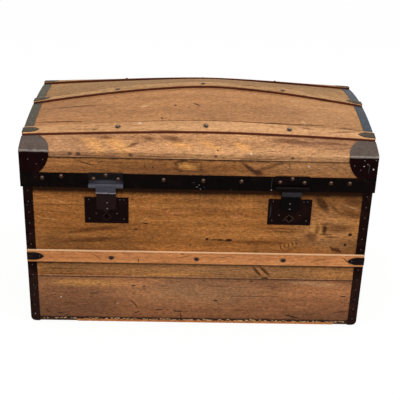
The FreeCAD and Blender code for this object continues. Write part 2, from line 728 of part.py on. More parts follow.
def bail_shape():
    """A round rod bent to a flat U, with a pin turned inwards at the top of each arm."""
    x = -(size["body_width"] / 2 + size["handle_standoff"])
    arm = size["handle_span"] / 2
    top = size["handle_level"]
    low = top - size["handle_drop"]
    bend = size["handle_bend"]
    small = size["handle_rod"] + 1
    pin_end = arm - size["bracket_inset"] - size["bracket_width"] / 2 - 2
    slant = math.sqrt(0.5)

    def point(y, z):
        return FreeCAD.Vector(x, y, z)

    def arc(start, middle, end):
        return Part.Arc(start, middle, end).toShape()

    right = [
        Part.LineSegment(point(0, low), point(arm - bend, low)).toShape(),
        arc(point(arm - bend, low), point(arm - bend + bend * slant, low + bend - bend * slant),
            point(arm, low + bend)),
        Part.LineSegment(point(arm, low + bend), point(arm, top - small)).toShape(),
        arc(point(arm, top - small), point(arm - small + small * slant, top - small + small * slant),
            point(arm - small, top)),
    ]
    left = [edge.mirror(FreeCAD.Vector(), FreeCAD.Vector(0, 1, 0)) for edge in right]
    path = Part.Wire(Part.__sortEdges__(left + right))
    begin = path.OrderedVertexes[0].Point
    section = Part.Wire([Part.makeCircle(size["handle_rod"], begin, FreeCAD.Vector(0, 1, 0))])
    bail = path.makePipeShell([section], True, True)
    pins = []
    for side in (-1, 1):
        start = FreeCAD.Vector(x, side * pin_end, top)
        length = arm - small - pin_end + 0.5
        pins.append(Part.makeCylinder(size["handle_pin_radius"], length, start, FreeCAD.Vector(0, side, 0)))
    return bail.fuse(pins)


def handles():
    left = keep("left_handle", solid("left_handle", bail_shape()))
    keep("right_handle", mirror("right_handle", left, "x"))


# ---------------------------------------------------------------- the dome

def dome_height(x, y):
    """Top of the lid's boards: an arch across, and a bow along that fades towards the bends."""
    half_length = size["body_width"] / 2 + size["lid_overhang"] + size["iron_thickness"]
    half_depth = size["body_depth"] / 2 + size["lid_overhang"] + size["iron_thickness"]
    across = min(1.0, abs(y) / half_depth)
    along = abs(x - size["crest_shift"]) / half_length
    arch = (1 - across ** 2) ** size["arch_power"]
    crown = max(0.0, math.cos(math.pi * across / 2)) ** size["crown_power"]
    bow = 1 - along ** size["bow_power"]
    bend = size["seam_height"] + size["bend_rise"]
    return bend + size["end_rise"] * arch + size["bow_rise"] * crown * bow


def dome_face():
    """The dome as one smooth face, a little longer than the lid."""
    half_length = size["body_width"] / 2 + size["lid_overhang"] + size["iron_thickness"] + 2
    half_depth = size["body_depth"] / 2 + size["lid_overhang"] + size["iron_thickness"]
    steps_along = 12
    steps_across = 24
    rows = []
    for i in range(steps_along + 1):
        x = half_length * (2 * i / steps_along - 1)
        ys = [-half_depth * math.cos(math.pi * j / steps_across) for j in range(steps_across + 1)]
        rows.append([FreeCAD.Vector(x, y, dome_height(x, y)) for y in ys])
    surface = Part.BSplineSurface()
    surface.interpolate(rows)
    return solid("dome_face", surface.toShape())


DOME = dome_face()


def dome_layer(name, low, high):
    """Everything between two heights above the dome's face."""
    item = doc.addObject("Part::Extrusion", name)
    item.Base = DOME
    item.DirMode = "Custom"
    item.Dir = FreeCAD.Vector(0, 0, 1)
    item.Solid = True
    bind(item, "LengthFwd", f"({high}) - ({low})")
    bind(item, "Placement.Base.z", low)
    return item


def dome_piece(name, low, high, x, y):
    """A layer of the dome inside a plan rectangle."""
    window = box(name + "_window", x, y, (LID_BOTTOM, DOME_ROOF))
    return common(name, dome_layer(name + "_layer", low, high), window)


def side_span(hand, outer, inner):
    """A low and high pair along X, mirrored on the right."""
    return (f"-{outer}", f"-{inner}") if hand == "left" else (inner, outer)


# ---------------------------------------------------------------- lid boards

def lid_walls():
    low = LID_BOTTOM
    high = f"{NOSE_BOTTOM} - board_gap"
    wall = box("lid_front_board", (f"-{HALF_LID}", HALF_LID),
               (f"-{HALF_LID_DEPTH}", f"-{HALF_LID_DEPTH} + board_thickness"), (low, high))
    keep("lid_front_board", wall)
    keep("lid_back_board", mirror("lid_back_board", wall, "y"))
    inner = f"({HALF_LID_DEPTH} - board_thickness - board_gap)"
    for hand, x in (("left", (f"-{HALF_LID}", f"-{HALF_LID} + board_thickness")),
                    ("right", (f"{HALF_LID} - board_thickness", HALF_LID))):
        node = f"lid_{hand}_end_board"
        blank = box(node + "_blank", x, (f"-{inner}", inner), (low, DOME_ROOF))
        under = dome_layer(node + "_under", f"{LID_BOTTOM} - {DOME_ROOF}", "-top_board_thickness - seat_gap")
        keep(node, common(node, blank, under))
    rib = dome_piece("lid_rib", "-top_board_thickness - rib_depth", "-top_board_thickness - seat_gap",
                     ("-rib_width/2", "rib_width/2"), (f"-{inner}", inner))
    keep("lid_rib", rib)


def top_boards():
    """Four bent boards that meet under the slats; the outer two end in a nosing over the walls."""
    length = (f"-{HALF_LID}", HALF_LID)
    seam = f"({LID_OUTER_DEPTH} - slat_setback)"
    layer = ("-top_board_thickness", "0")
    plain = dome_piece("lid_top_board_front_plain", *layer, length,
                       (f"-{HALF_LID_DEPTH}", f"-{seam} - board_gap/2"))
    nosing = dome_piece("lid_front_nosing", *layer,
                        (f"-{LID_OUTER} + nose_length_gap", f"{LID_OUTER} - nose_length_gap"),
                        (f"-{LID_OUTER_DEPTH} - 1", f"-{HALF_LID_DEPTH} + board_thickness"))
    front = join("lid_top_board_front", plain, nosing)
    keep("lid_top_board_front", front)
    keep("lid_top_board_back", mirror("lid_top_board_back", front, "y"))
    inner_front = dome_piece("lid_top_board_mid_front", *layer, length,
                             (f"-{seam} + board_gap/2", "-board_gap/2"))
    keep("lid_top_board_mid_front", inner_front)
    keep("lid_top_board_mid_back", mirror("lid_top_board_mid_back", inner_front, "y"))


def slat_lines():
    """The three slats' middle lines across the lid."""
    outer = f"({LID_OUTER_DEPTH} - slat_setback)"
    return {"front": f"-{outer}", "middle": "0", "back": outer}


def slats():
    """Bent slats over the board joints, let down over the end edging, and their end clasps."""
    clasps = []
    rebate_end = f"({LID_OUTER} - edging_leg - 1)"
    for name, line in slat_lines().items():
        node = f"lid_slat_{name}"
        width = (f"{line} - slat_width/2", f"{line} + slat_width/2")
        bar = dome_piece(node + "_bar", "seat_gap", "slat_thickness", (f"-{HALF_LID}", HALF_LID), width)
        wide = (f"{width[0]} - 1", f"{width[1]} + 1")
        rebates = [dome_piece(f"{node}_rebate_{hand}", "-1", "iron_thickness + 3*seat_gap",
                              side_span(hand, f"({LID_OUTER} + 1)", rebate_end), wide)
                   for hand in ("left", "right")]
        keep(node, cut(node, bar, *rebates))
        clasps += slat_clasp_pair(name, line)
    keep("slat_end_clasps", group("slat_end_clasps", *clasps))


def slat_clasp_pair(name, line):
    """Pointed straps along a slat's ends, folded down over the end grain."""
    width = (f"{line} - clasp_width/2", f"{line} + clasp_width/2")
    pair = []
    for hand in ("left", "right"):
        left = hand == "left"
        outer = f"-{LID_OUTER}" if left else LID_OUTER
        face = f"-{HALF_LID}" if left else HALF_LID
        inward = "+" if left else "-"
        middle = f"{outer} {inward} (clasp_length - {CLASP_POINT})"
        tip = f"{outer} {inward} (clasp_length + 1)"
        tag = f"slat_clasp_{name}_{hand}"
        along = (outer, middle) if left else (middle, outer)
        strap = box(tag + "_strap", along, width, (LID_BOTTOM, DOME_ROOF))
        lens = clasp_point(tag + "_lens", "z", middle, line, LID_BOTTOM, f"{DOME_ROOF} - {LID_BOTTOM}")
        window = box(tag + "_window", (middle, tip) if left else (tip, middle),
                     (f"{line} - clasp_width", f"{line} + clasp_width"), (LID_BOTTOM, DOME_ROOF))
        point = common(tag + "_point", lens, window)
        top = common(tag + "_top", dome_layer(tag + "_layer", "slat_thickness + seat_gap",
                                              "slat_thickness + seat_gap + iron_thickness"),
                     join(tag + "_plan", strap, point))
        fold = dome_piece(tag + "_fold", "iron_thickness + 4*seat_gap",
                          "slat_thickness + seat_gap + iron_thickness",
                          (outer, face) if left else (face, outer), width)
        pair.append(join(tag, top, fold))
    return pair


# ---------------------------------------------------------------- iron of the lid

def corner_ball(name, hand, radius):
    """A ball about one of the lid's front corners, which trims the sheets to round lobes."""
    ball = doc.addObject("Part::Sphere", name)
    bind(ball, "Radius", radius)
    return place(ball, f"-{LID_OUTER}" if hand == "left" else LID_OUTER, f"-{LID_OUTER_DEPTH}", BEND)


def corner_irons():
    """Three-sided caps on the lid's corners: a lobe on the top, the front and the end."""
    top_z = (f"{BAND_TOP} + seat_gap", f"{BEND} + iron_thickness + seat_gap")
    slat_edge = f"-{LID_OUTER_DEPTH} + slat_setback - slat_width/2"
    for hand in ("left", "right"):
        tag = f"lid_corner_iron_front_{hand}"
        reach = f"({LID_OUTER} - corner_iron_radius)"
        front = box(tag + "_front", side_span(hand, LID_OUTER, reach),
                    (f"-{LID_OUTER_DEPTH}", f"-{HALF_LID_DEPTH}"), top_z)
        top = dome_piece(tag + "_top", "seat_gap", "seat_gap + iron_thickness",
                         side_span(hand, LID_OUTER, reach),
                         (f"-{LID_OUTER_DEPTH} - 1", f"{slat_edge} - board_gap"))
        side = common(tag + "_side", dome_layer(tag + "_side_layer", f"{BAND_TOP} - {DOME_ROOF}",
                                                 "seat_gap + iron_thickness"),
                      box(tag + "_side_window", side_span(hand, LID_OUTER, HALF_LID),
                          (f"-{LID_OUTER_DEPTH} - 1", f"{slat_edge} - board_gap"), (top_z[0], DOME_ROOF)))
        ball = corner_ball(tag + "_ball", hand, "corner_iron_radius")
        iron = keep(tag, common(tag, join(tag + "_sheets", front, top, side), ball))
        keep(tag.replace("front", "back"), mirror(tag.replace("front", "back"), iron, "y"))


def lid_edging():
    """Angle strips along the lid's arched ends, stopped short of the corner irons."""
    for hand in ("left", "right"):
        node = f"lid_edging_{hand}"
        run = (f"-{LID_OUTER_DEPTH}", LID_OUTER_DEPTH)
        inner = f"({LID_OUTER} - edging_leg)"
        top = dome_piece(node + "_top", "seat_gap", "seat_gap + iron_thickness",
                         side_span(hand, LID_OUTER, inner), run)
        side = dome_piece(node + "_side", "-edging_leg", "seat_gap + iron_thickness",
                          side_span(hand, LID_OUTER, HALF_LID), run)
        front_ball = corner_ball(node + "_front_ball", hand, "corner_iron_radius + board_gap")
        back_ball = mirror(node + "_back_ball", front_ball, "y")
        keep(node, cut(node, join(node + "_angle", top, side), front_ball, back_ball))


def lid_band():
    """The iron band round the lid's foot, with a lip over the body's rim except at the back."""
    heights = ("seam_height - band_lip", BAND_TOP)
    outside = box("band_outside", (f"-{LID_OUTER}", LID_OUTER),
                  (f"-{LID_OUTER_DEPTH}", LID_OUTER_DEPTH), heights)
    inside = box("band_inside", (f"-{HALF_LID}", HALF_LID), (f"-{HALF_LID_DEPTH}", HALF_LID_DEPTH),
                 ("seam_height - band_lip - 1", f"{BAND_TOP} + 1"))
    back_lip = box("band_back_lip", (f"-{LID_OUTER} - 1", f"{LID_OUTER} + 1"),
                   (f"{HALF_DEPTH} - board_thickness", f"{LID_OUTER_DEPTH} + 1"),
                   ("seam_height - band_lip - 2", LID_BOTTOM))
    keep("lid_band", cut("lid_band", outside, inside, back_lip))


# ---------------------------------------------------------------- back hinges

def hinge_halves():
    """Butt hinges across the back: three knuckles on the body leaf, two on the lid leaf."""
    lid_leaves = []
    body_leaves = []
    pins = []
    knuckle = "(hinge_width/5)"
    bore_radius = "pin_radius + pin_clearance"
    for hand, middle in (("left", f"(hinge_inset - {HALF_BODY})"), ("right", f"({HALF_BODY} - hinge_inset)")):
        start = f"({middle} - hinge_width/2)"
        full = (start, f"{start} + hinge_width")
        bore = rod(f"{hand}_hinge_bore", "x", bore_radius, "hinge_width + 2",
                   (f"{start} - 1", HINGE_PIN_DEPTH, "seam_height"))
        lid = [box(f"{hand}_lid_leaf_sheet", full,
                   (LID_OUTER_DEPTH, f"{LID_OUTER_DEPTH} + hinge_leaf_thickness"),
                   ("seam_height + hinge_knuckle_radius + running_gap", "seam_height + hinge_leaf_height"))]
        body = [box(f"{hand}_body_leaf_sheet", full,
                    (HALF_DEPTH, f"{HALF_DEPTH} + hinge_leaf_thickness"),
                    ("seam_height - hinge_leaf_height", "seam_height - hinge_knuckle_radius"))]
        for i in range(5):
            low = f"{start} + {knuckle}*{i} + knuckle_gap/2"
            high = f"{start} + {knuckle}*{i + 1} - knuckle_gap/2"
            on_body = i % 2 == 0
            barrel = rod(f"{hand}_hinge_knuckle_{i}", "x", "hinge_knuckle_radius", f"{knuckle} - knuckle_gap",
                         (low, HINGE_PIN_DEPTH, "seam_height"))
            if on_body:
                web = box(f"{hand}_hinge_web_{i}", (low, high), (HALF_DEPTH, HINGE_PIN_DEPTH),
                          ("seam_height - hinge_knuckle_radius - hinge_web_low",
                           "seam_height - hinge_web_high"))
                body += [barrel, web]
            else:
                web = box(f"{hand}_hinge_web_{i}", (low, high),
                          (LID_OUTER_DEPTH, f"{LID_OUTER_DEPTH} + hinge_leaf_thickness"),
                          ("seam_height + lid_gap", "seam_height + hinge_knuckle_radius + 1"))
                lid += [barrel, web]
        lid_leaves.append(cut(f"{hand}_lid_leaf", join(f"{hand}_lid_leaf_blank", *lid), bore))
        body_leaves.append(cut(f"{hand}_body_leaf", join(f"{hand}_body_leaf_blank", *body), bore))
        pins.append(rod(f"{hand}_hinge_pin", "x", "pin_radius", "hinge_width",
                        (start, HINGE_PIN_DEPTH, "seam_height")))
    for hand, lid_leaf, body_leaf in zip(("left", "right"), lid_leaves, body_leaves):
        keep(f"{hand}_hinge_lid_leaf", lid_leaf)
        keep(f"{hand}_hinge_body_leaf", body_leaf)
    keep("lid_hinge_pins", group("lid_hinge_pins", *pins))


# ---------------------------------------------------------------- nails and rivets

def nail_head(radius, height):
    """A low domed head standing on the XY plane."""
    ball = (radius ** 2 + height ** 2) / (2 * height)
    half = math.asin(min(1.0, radius / ball)) / 2
    rim = FreeCAD.Vector(radius, 0, 0)
    crown = FreeCAD.Vector(0, 0, height)
    middle = FreeCAD.Vector(ball * math.sin(half), 0, height - ball + ball * math.cos(half))
    outline = Part.Wire([Part.Arc(rim, middle, crown).toShape(), Part.makeLine(crown, FreeCAD.Vector()),
                         Part.makeLine(FreeCAD.Vector(), rim)])
    return Part.Face(outline).revolve(FreeCAD.Vector(), FreeCAD.Vector(0, 0, 1), 360)


def set_nails(head, spots):
    """Copies of a head, each at a point with its crown along a direction."""
    shapes = []
    for point, outward in spots:
        copy = head.copy()
        copy.Placement = FreeCAD.Placement(point, FreeCAD.Rotation(FreeCAD.Vector(0, 0, 1), outward))
        shapes.append(copy)
    return Part.makeCompound(shapes)


def on_dome(x, y, lift):
    """A point a seat gap above a layer of the dome, and the direction away from it."""
    surface = DOME.Shape.Faces[0].Surface
    point = FreeCAD.Vector(x, y, dome_height(x, y))
    for attempt in range(8):
        u, v = surface.parameter(point)
        near = surface.value(u, v)
        outward = surface.normal(u, v)
        point.z = near.z - (outward.x * (x - near.x) + outward.y * (y - near.y)) / outward.z
    if outward.z < 0:
        outward = -outward
    return point + FreeCAD.Vector(0, 0, lift + size["seat_gap"]), outward


def spread(low, high, pitch):
    """Evenly spaced places between two ends, about a pitch apart."""
    count = max(1, round((high - low) / pitch))
    return [low + (high - low) * i / count for i in range(count + 1)]


def body_nails():
    """Tacks down the corner edging, in the batten clasps and around the lock plates."""
    half = size["body_width"] / 2
    depth = size["body_depth"] / 2
    iron = size["iron_thickness"]
    spots = lock_plate_spots()
    inset = size["edging_leg"] / 2 - iron
    batten = size["batten_level"]
    clear = size["batten_height"] / 2 + size["batten_tack_gap"]
    low = size["floor_thickness"] + size["edging_foot_round"]
    high = size["seam_height"] - size["band_lip"] - size["top_tack_gap"]
    levels = [z for z in spread(low, high, size["edging_tack_pitch"]) if abs(z - batten) > clear]
    clasp_nail = half - size["batten_end_gap"] - size["clasp_length"] + size["clasp_width"] / 2
    for sx in (-1, 1):
        for sy in (-1, 1):
            for z in levels:
                spots.append((FreeCAD.Vector(sx * (half - inset), sy * (depth + iron), z),
                              FreeCAD.Vector(0, sy, 0)))
                spots.append((FreeCAD.Vector(sx * (half + iron), sy * (depth - inset), z),
                              FreeCAD.Vector(sx, 0, 0)))
            face = depth + size["batten_thickness"] + iron
            spots.append((FreeCAD.Vector(sx * clasp_nail, sy * face, batten), FreeCAD.Vector(0, sy, 0)))
    head = nail_head(size["tack_radius"], size["tack_height"])
    keep("body_nails", solid("body_nails", set_nails(head, spots)))


def lock_places():
    """The two locks' middles along the front."""
    half = size["body_width"] / 2
    return {"left": size["left_lock_inset"] - half, "right": half - size["right_lock_inset"]}


def lock_plate_spots():
    """Nails of the two lock plates: at the corners, one spare, and beside the keyhole."""
    face = -(size["body_depth"] / 2 + size["lock_plate_thickness"])
    side = size["plate_nail_side"]
    top = size["plate_nail_top"]
    low = -size["plate_nail_bottom"]
    inner = size["case_nail_side"]
    drop = -size["case_nail_drop"]
    spare = side - size["spare_nail_step"]
    places = ((-side, top), (side, top), (spare, top), (-side, low), (side, low),
              (-inner, drop), (inner, drop))
    outward = FreeCAD.Vector(0, -1, 0)
    spots = []
    for hand, middle in lock_places().items():
        level = size["seam_height"] - size[f"{hand}_lock_drop"]
        spots += [(FreeCAD.Vector(middle + x, face, level + z), outward) for x, z in places]
    return spots


def wood_nails():
    """The larger nails through the slats and battens."""
    head = nail_head(size["slat_nail_radius"], size["slat_nail_height"])
    half = size["body_width"] / 2
    face = size["body_depth"] / 2 + size["batten_thickness"]
    level = size["batten_level"] - size["batten_nail_drop"]
    batten_spots = [(FreeCAD.Vector(share * half, side * face, level), FreeCAD.Vector(0, side, 0))
                     for side in (-1, 1) for share in BATTEN_NAILS]
    keep("batten_nails", solid("batten_nails", set_nails(head, batten_spots)))
    outer = size["body_depth"] / 2 + size["lid_overhang"] + size["iron_thickness"] - size["slat_setback"]
    rows = ((-outer, OUTER_SLAT_NAILS), (0, MIDDLE_SLAT_NAILS), (outer, OUTER_SLAT_NAILS))
    slat_spots = [on_dome(share * half, y, size["slat_thickness"])
                  for y, shares in rows for share in shares]
    keep("slat_nails", solid("slat_nails", set_nails(head, slat_spots)))


def lid_tacks():
    """Tacks in the lid's edging, corner irons, slat clasps and nosings."""
    half = size["body_width"] / 2 + size["lid_overhang"] + size["iron_thickness"]
    depth = size["body_depth"] / 2 + size["lid_overhang"] + size["iron_thickness"]
    lift = size["iron_thickness"] + size["seat_gap"]
    bend = size["seam_height"] + size["bend_rise"]
    reach = size["corner_iron_radius"]
    strip = size["edging_leg"] / 2
    outer_slat = depth - size["slat_setback"]
    slat_lines_y = (-outer_slat, 0, outer_slat)
    clear = size["slat_width"] / 2 + size["slat_tack_gap"]
    spots = []
    end = depth - reach - size["corner_tack_gap"]
    run = spread(-end, end, size["lid_tack_pitch"])
    clasp_nail = half - size["clasp_length"] + size["clasp_width"] / 2
    lobe = size["slat_setback"] - size["slat_width"] / 2 - size["slat_tack_gap"]
    for sx in (-1, 1):
        for y in run:
            if min(abs(y - line) for line in slat_lines_y) > clear:
                spots.append(on_dome(sx * (half - strip), y, lift))
                height = dome_height(sx * half, y) - strip
                spots.append((FreeCAD.Vector(sx * (half + size["seat_gap"]), y, height),
                              FreeCAD.Vector(sx, 0, 0)))
        for line in slat_lines_y:
            spots.append(on_dome(sx * clasp_nail, line, size["slat_thickness"] + lift))
        for sy in (-1, 1):
            for u, v in FACE_TACKS:
                level = bend - v * reach
                spots.append((FreeCAD.Vector(sx * (half - u * reach), sy * depth, level),
                              FreeCAD.Vector(0, sy, 0)))
                spots.append((FreeCAD.Vector(sx * half, sy * (depth - min(u * reach, lobe)), level),
                              FreeCAD.Vector(sx, 0, 0)))
            for u, v in TOP_TACKS:
                spots.append(on_dome(sx * (half - u * reach), sy * (depth - v * reach), lift))
    nose = bend - size["top_board_thickness"] / 2
    for side in (-1, 1):
        for share in NOSE_NAILS:
            spots.append((FreeCAD.Vector(share * half, side * depth, nose), FreeCAD.Vector(0, side, 0)))
    head = nail_head(size["tack_radius"], size["tack_height"])
    keep("lid_tacks", solid("lid_tacks", set_nails(head, spots)))


def band_rivets():
    """Large domed rivets: round the band, and three on each hasp's hinge plate."""
    half = size["body_width"] / 2 + size["lid_overhang"] + size["iron_thickness"]
    depth = size["body_depth"] / 2 + size["lid_overhang"] + size["iron_thickness"]
    band_low = size["seam_height"] - size["band_lip"]
    level = band_low + size["rivet_level"]
    head = nail_head(size["rivet_radius"], size["rivet_height"])
    left = -half + size["left_outer_rivet_gap"]
    right = half - size["right_outer_rivet_gap"]
    step = size["second_rivet_step"]
    places = (left, -size["left_inner_rivet"], size["middle_rivet"], size["right_inner_rivet"],
              right - step, right)
    front = FreeCAD.Vector(0, -1, 0)
    spots = [(FreeCAD.Vector(x, -depth, level), front) for x in places]
    spots.append((FreeCAD.Vector(left + step, -depth, level + size["raised_rivet"]), front))
    for x in (left, -size["back_rivet_place"], size["back_rivet_place"], right):
        spots.append((FreeCAD.Vector(x, depth, level), FreeCAD.Vector(0, 1, 0)))
    for side in (-1, 1):
        for y in (-size["side_rivet_place"], 0, size["side_rivet_place"]):
            spots.append((FreeCAD.Vector(side * half, y, level), FreeCAD.Vector(side, 0, 0)))
    plate_face = -(depth + size["iron_thickness"])
    band_top = band_low + size["band_height"]
    pitch = size["plate_rivet_pitch"]
    for middle in lock_places().values():
        for x, drop in ((-pitch, size["plate_rivet_low"]), (0, size["plate_rivet_high"]),
                        (pitch, size["plate_rivet_low"])):
            spots.append((FreeCAD.Vector(middle + x, plate_face, band_top - drop), front))
    keep("band_rivets", solid("band_rivets", set_nails(head, spots)))


# ---------------------------------------------------------------- build

body_walls()
bottom_boards()
corner_edging()
battens()
batten_clasps()
for side_name in ("left", "right"):
    lock_plate(side_name)
    lock_case(side_name)
    lock_bolt(side_name)
    hasp_hinge_plate(side_name)
    hasp(side_name)
hasp_hinge_pins()
handle_brackets()
handles()
lid_walls()
top_boards()
slats()
corner_irons()
lid_edging()
lid_band()
hinge_halves()
body_nails()
wood_nails()
lid_tacks()
band_rivets()

doc.recompute()
for item in doc.Objects:
    if "Invalid" in item.State or "Error" in item.State:
        raise RuntimeError(f"{item.Label} did not rebuild: {item.State}")
for item in parts:
    if item.Shape.isNull() or not item.Shape.isValid() or not item.Shape.Solids:
        raise RuntimeError(f"{item.Label} has no sound solid")

os.makedirs("parts", exist_ok=True)
for item in parts:
    item.Shape.exportStep(f"parts/{item.Label}.step")
    print(item.Label, len(item.Shape.Solids), round(item.Shape.Volume / 1000, 2))
print(len(parts), "nodes")
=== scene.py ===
"""Looks of the dome top trunk: old stripped pine boards, black iron edging and band,
worn hasps, rivets and tacks, on a plain pale floor under soft studio light.
Sizes are in metres; marks on the boards are placed in millimetres of the part's own frame."""
import math
import random

import bmesh
import bpy
from mathutils import Matrix, Vector


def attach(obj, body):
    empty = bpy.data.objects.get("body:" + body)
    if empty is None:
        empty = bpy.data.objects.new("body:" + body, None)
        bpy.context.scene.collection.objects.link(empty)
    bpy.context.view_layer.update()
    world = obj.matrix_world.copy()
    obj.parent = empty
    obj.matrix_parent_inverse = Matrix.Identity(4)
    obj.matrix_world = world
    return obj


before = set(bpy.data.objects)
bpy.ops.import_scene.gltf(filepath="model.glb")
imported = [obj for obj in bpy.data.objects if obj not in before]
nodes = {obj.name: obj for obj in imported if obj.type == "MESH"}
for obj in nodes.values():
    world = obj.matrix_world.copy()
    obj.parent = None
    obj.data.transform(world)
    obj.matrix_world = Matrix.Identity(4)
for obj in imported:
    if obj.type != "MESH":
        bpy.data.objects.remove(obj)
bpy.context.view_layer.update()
MM = 0.001


def rgb(r, g, b):
    """A display colour, 0 to 255, as the linear colour that a shader takes."""
    def linear(c):
        c /= 255
        return c / 12.92 if c <= 0.04045 else ((c + 0.055) / 1.055) ** 2.4
    return (linear(r), linear(g), linear(b), 1.0)


# ---------------------------------------------------------------- node graphs

def put(tree, socket, value):
    """Sets a socket to a value, or links another node's output to it."""
    if isinstance(value, bpy.types.NodeSocket):
        tree.links.new(value, socket)
    else:
        socket.default_value = value


def add_node(tree, kind, inputs, **settings):
    """A new node of the tree, with its inputs and settings."""
    made = tree.nodes.new("ShaderNode" + kind)
    for key, value in settings.items():
        setattr(made, key, value)
    for key, value in inputs.items():
        put(tree, made.inputs[key], value)
    return made


class Shader:
    """A node material, built from calls that each add nodes and return their output."""

    def __init__(self, name):
        self.material = bpy.data.materials.new(name)
        self.material.use_nodes = True
        self.tree = self.material.node_tree
        self.tree.nodes.clear()
        self.surface = self.node("BsdfPrincipled", {})
        self.node("OutputMaterial", {"Surface": self.surface.outputs[0]})
        coords = self.node("TexCoord", {})
        self.place = coords.outputs["Object"]
        self.x, self.y, self.z = self.split(self.place)
        _, self.ny, self.nz = self.split(coords.outputs["Normal"])

    def node(self, kind, inputs, **settings):
        return add_node(self.tree, kind, inputs, **settings)

    def split(self, vector):
        made = self.node("SeparateXYZ", {0: vector})
        return made.outputs[0], made.outputs[1], made.outputs[2]

    def calc(self, operation, *values):
        return self.node("Math", dict(enumerate(values)), operation=operation).outputs[0]

    def total(self, *values):
        result = values[0]
        for value in values[1:]:
            result = self.calc("ADD", result, value)
        return result

    def swing(self, value, amount):
        """A noise round one half as a swing round zero, amount strong."""
        return self.calc("MULTIPLY", self.calc("SUBTRACT", value, 0.5), amount)

    def ease(self, value, low, high, start=0.0, end=1.0):
        """value from low to high becomes start to end, with soft ends."""
        made = self.node("MapRange", {0: value, 1: low, 2: high, 3: start, 4: end},
                         interpolation_type="SMOOTHSTEP")
        return made.outputs[0]

    def mapped(self, scale, offset=(0, 0, 0)):
        made = self.node("Mapping", {"Vector": self.place, "Location": offset, "Scale": scale})
        return made.outputs[0]

    def noise(self, scale, detail, rough, seed):
        """Noise with scale as cells to the metre on each axis; seed moves it elsewhere."""
        made = self.node("TexNoise", {"Vector": self.mapped(scale, (seed, seed * 1.7, -seed)),
                                      "Scale": 1.0, "Detail": detail, "Roughness": rough})
        return made.outputs[0]

    def mix(self, amount, first, second, blend="MIX"):
        made = self.node("Mix", {0: amount, 6: first, 7: second}, data_type="RGBA",
                         blend_type=blend)
        return made.outputs[2]

    def shaded(self, colour, grey):
        """The colour times a grey level."""
        shade = self.node("CombineXYZ", {0: grey, 1: grey, 2: grey}).outputs[0]
        return self.mix(1.0, colour, shade, "MULTIPLY")

    def oval(self, plane, along, across, half_along, half_across, turn, level, vector):
        """How far a point lies from an oval's centre, as a share of the oval's size."""
        if plane == "XY":
            centre, half = (along, across, level), (half_along, half_across, THROUGH_TOP)
            turned = (0, 0, math.radians(turn))
        elif plane == "XZ":
            centre, half = (along, level, across), (half_along, THROUGH_WALL, half_across)
            turned = (0, -math.radians(turn), 0)
        else:
            centre, half = (level, along, across), (THROUGH_WALL, half_along, half_across)
            turned = (math.radians(turn), 0, 0)
        made = self.node("Mapping", {"Vector": vector, "Location": [c * MM for c in centre],
                                     "Rotation": turned, "Scale": [h * MM for h in half]},
                         vector_type="TEXTURE")
        return self.node("VectorMath", {0: made.outputs[0]}, operation="LENGTH").outputs["Value"]

    def marked(self, colour, marks, plane, level, vector):
        """Lays the marks on the colour; also returns how deep the holes and cracks are."""
        depth = 0.0
        for kind in MARKS:
            tone, strength, soft, sunk, grow = MARKS[kind]
            mask = None
            for mark in (m for m in marks if m[1] == kind):
                along, across, half_along, half_across, turn = mark[2:7]
                spot = mark[7:] or (plane, level)
                away = self.oval(spot[0], along, across, half_along + END_GROWTH * grow,
                                 half_across * grow, turn, spot[1], vector)
                here = self.ease(away, 1 + soft, 1 - soft)
                mask = here if mask is None else self.calc("MAXIMUM", mask, here)
            if mask is None:
                continue
            colour = self.mix(self.calc("MULTIPLY", mask, strength), colour, rgb(*tone))
            if sunk:
                depth = self.calc("MULTIPLY_ADD", mask, sunk, depth)
        return colour, depth

    def banded(self, colour, bands):
        """Tints the stretch between two levels; a level's pair runs from bare to tinted.
        One pair alone tints everything beyond it."""
        waver = self.noise((90, 90, 90), 3.0, 0.6, 17)
        ragged = self.calc("MULTIPLY_ADD", waver, BAND_WAVER * MM, self.z)
        ragged = self.calc("SUBTRACT", ragged, BAND_WAVER / 2 * MM)
        for *pairs, tone, share in bands:
            amount = share
            for bare, full in pairs:
                amount = self.calc("MULTIPLY", self.ease(ragged, bare * MM, full * MM), amount)
            colour = self.mix(amount, colour, rgb(*tone))
        return colour

    def finish(self, colour, rough, height, strength, reach, **constants):
        """Joins colour, roughness and relief to the surface; reach is the relief's depth in
        millimetres, and constants are other inputs of the surface."""
        bump = self.node("Bump", {"Strength": strength, "Distance": reach * MM,
                                  "Height": height})
        joined = {"Base Color": colour, "Roughness": rough, "Normal": bump.outputs[0]}
        for key, value in joined.items():
            put(self.tree, self.surface.inputs[key], value)
        for key, value in constants.items():
            self.surface.inputs[key.replace("_", " ")].default_value = value
        return self.material


# how far a mark reaches into a curved top and into a wall, and how much longer a mark of
# growth 1 is drawn at each end, in millimetres
THROUGH_TOP, THROUGH_WALL, END_GROWTH = 90, 7, 0.3
# how far the edge of a band wanders up and down, in millimetres
BAND_WAVER = 5
# how far the marks' outlines waver on each axis, in metres, and its noise's cells to the metre
MARK_WAVER, WAVER_CELLS = (0.006, 0.003, 0.003), (60, 60, 60)

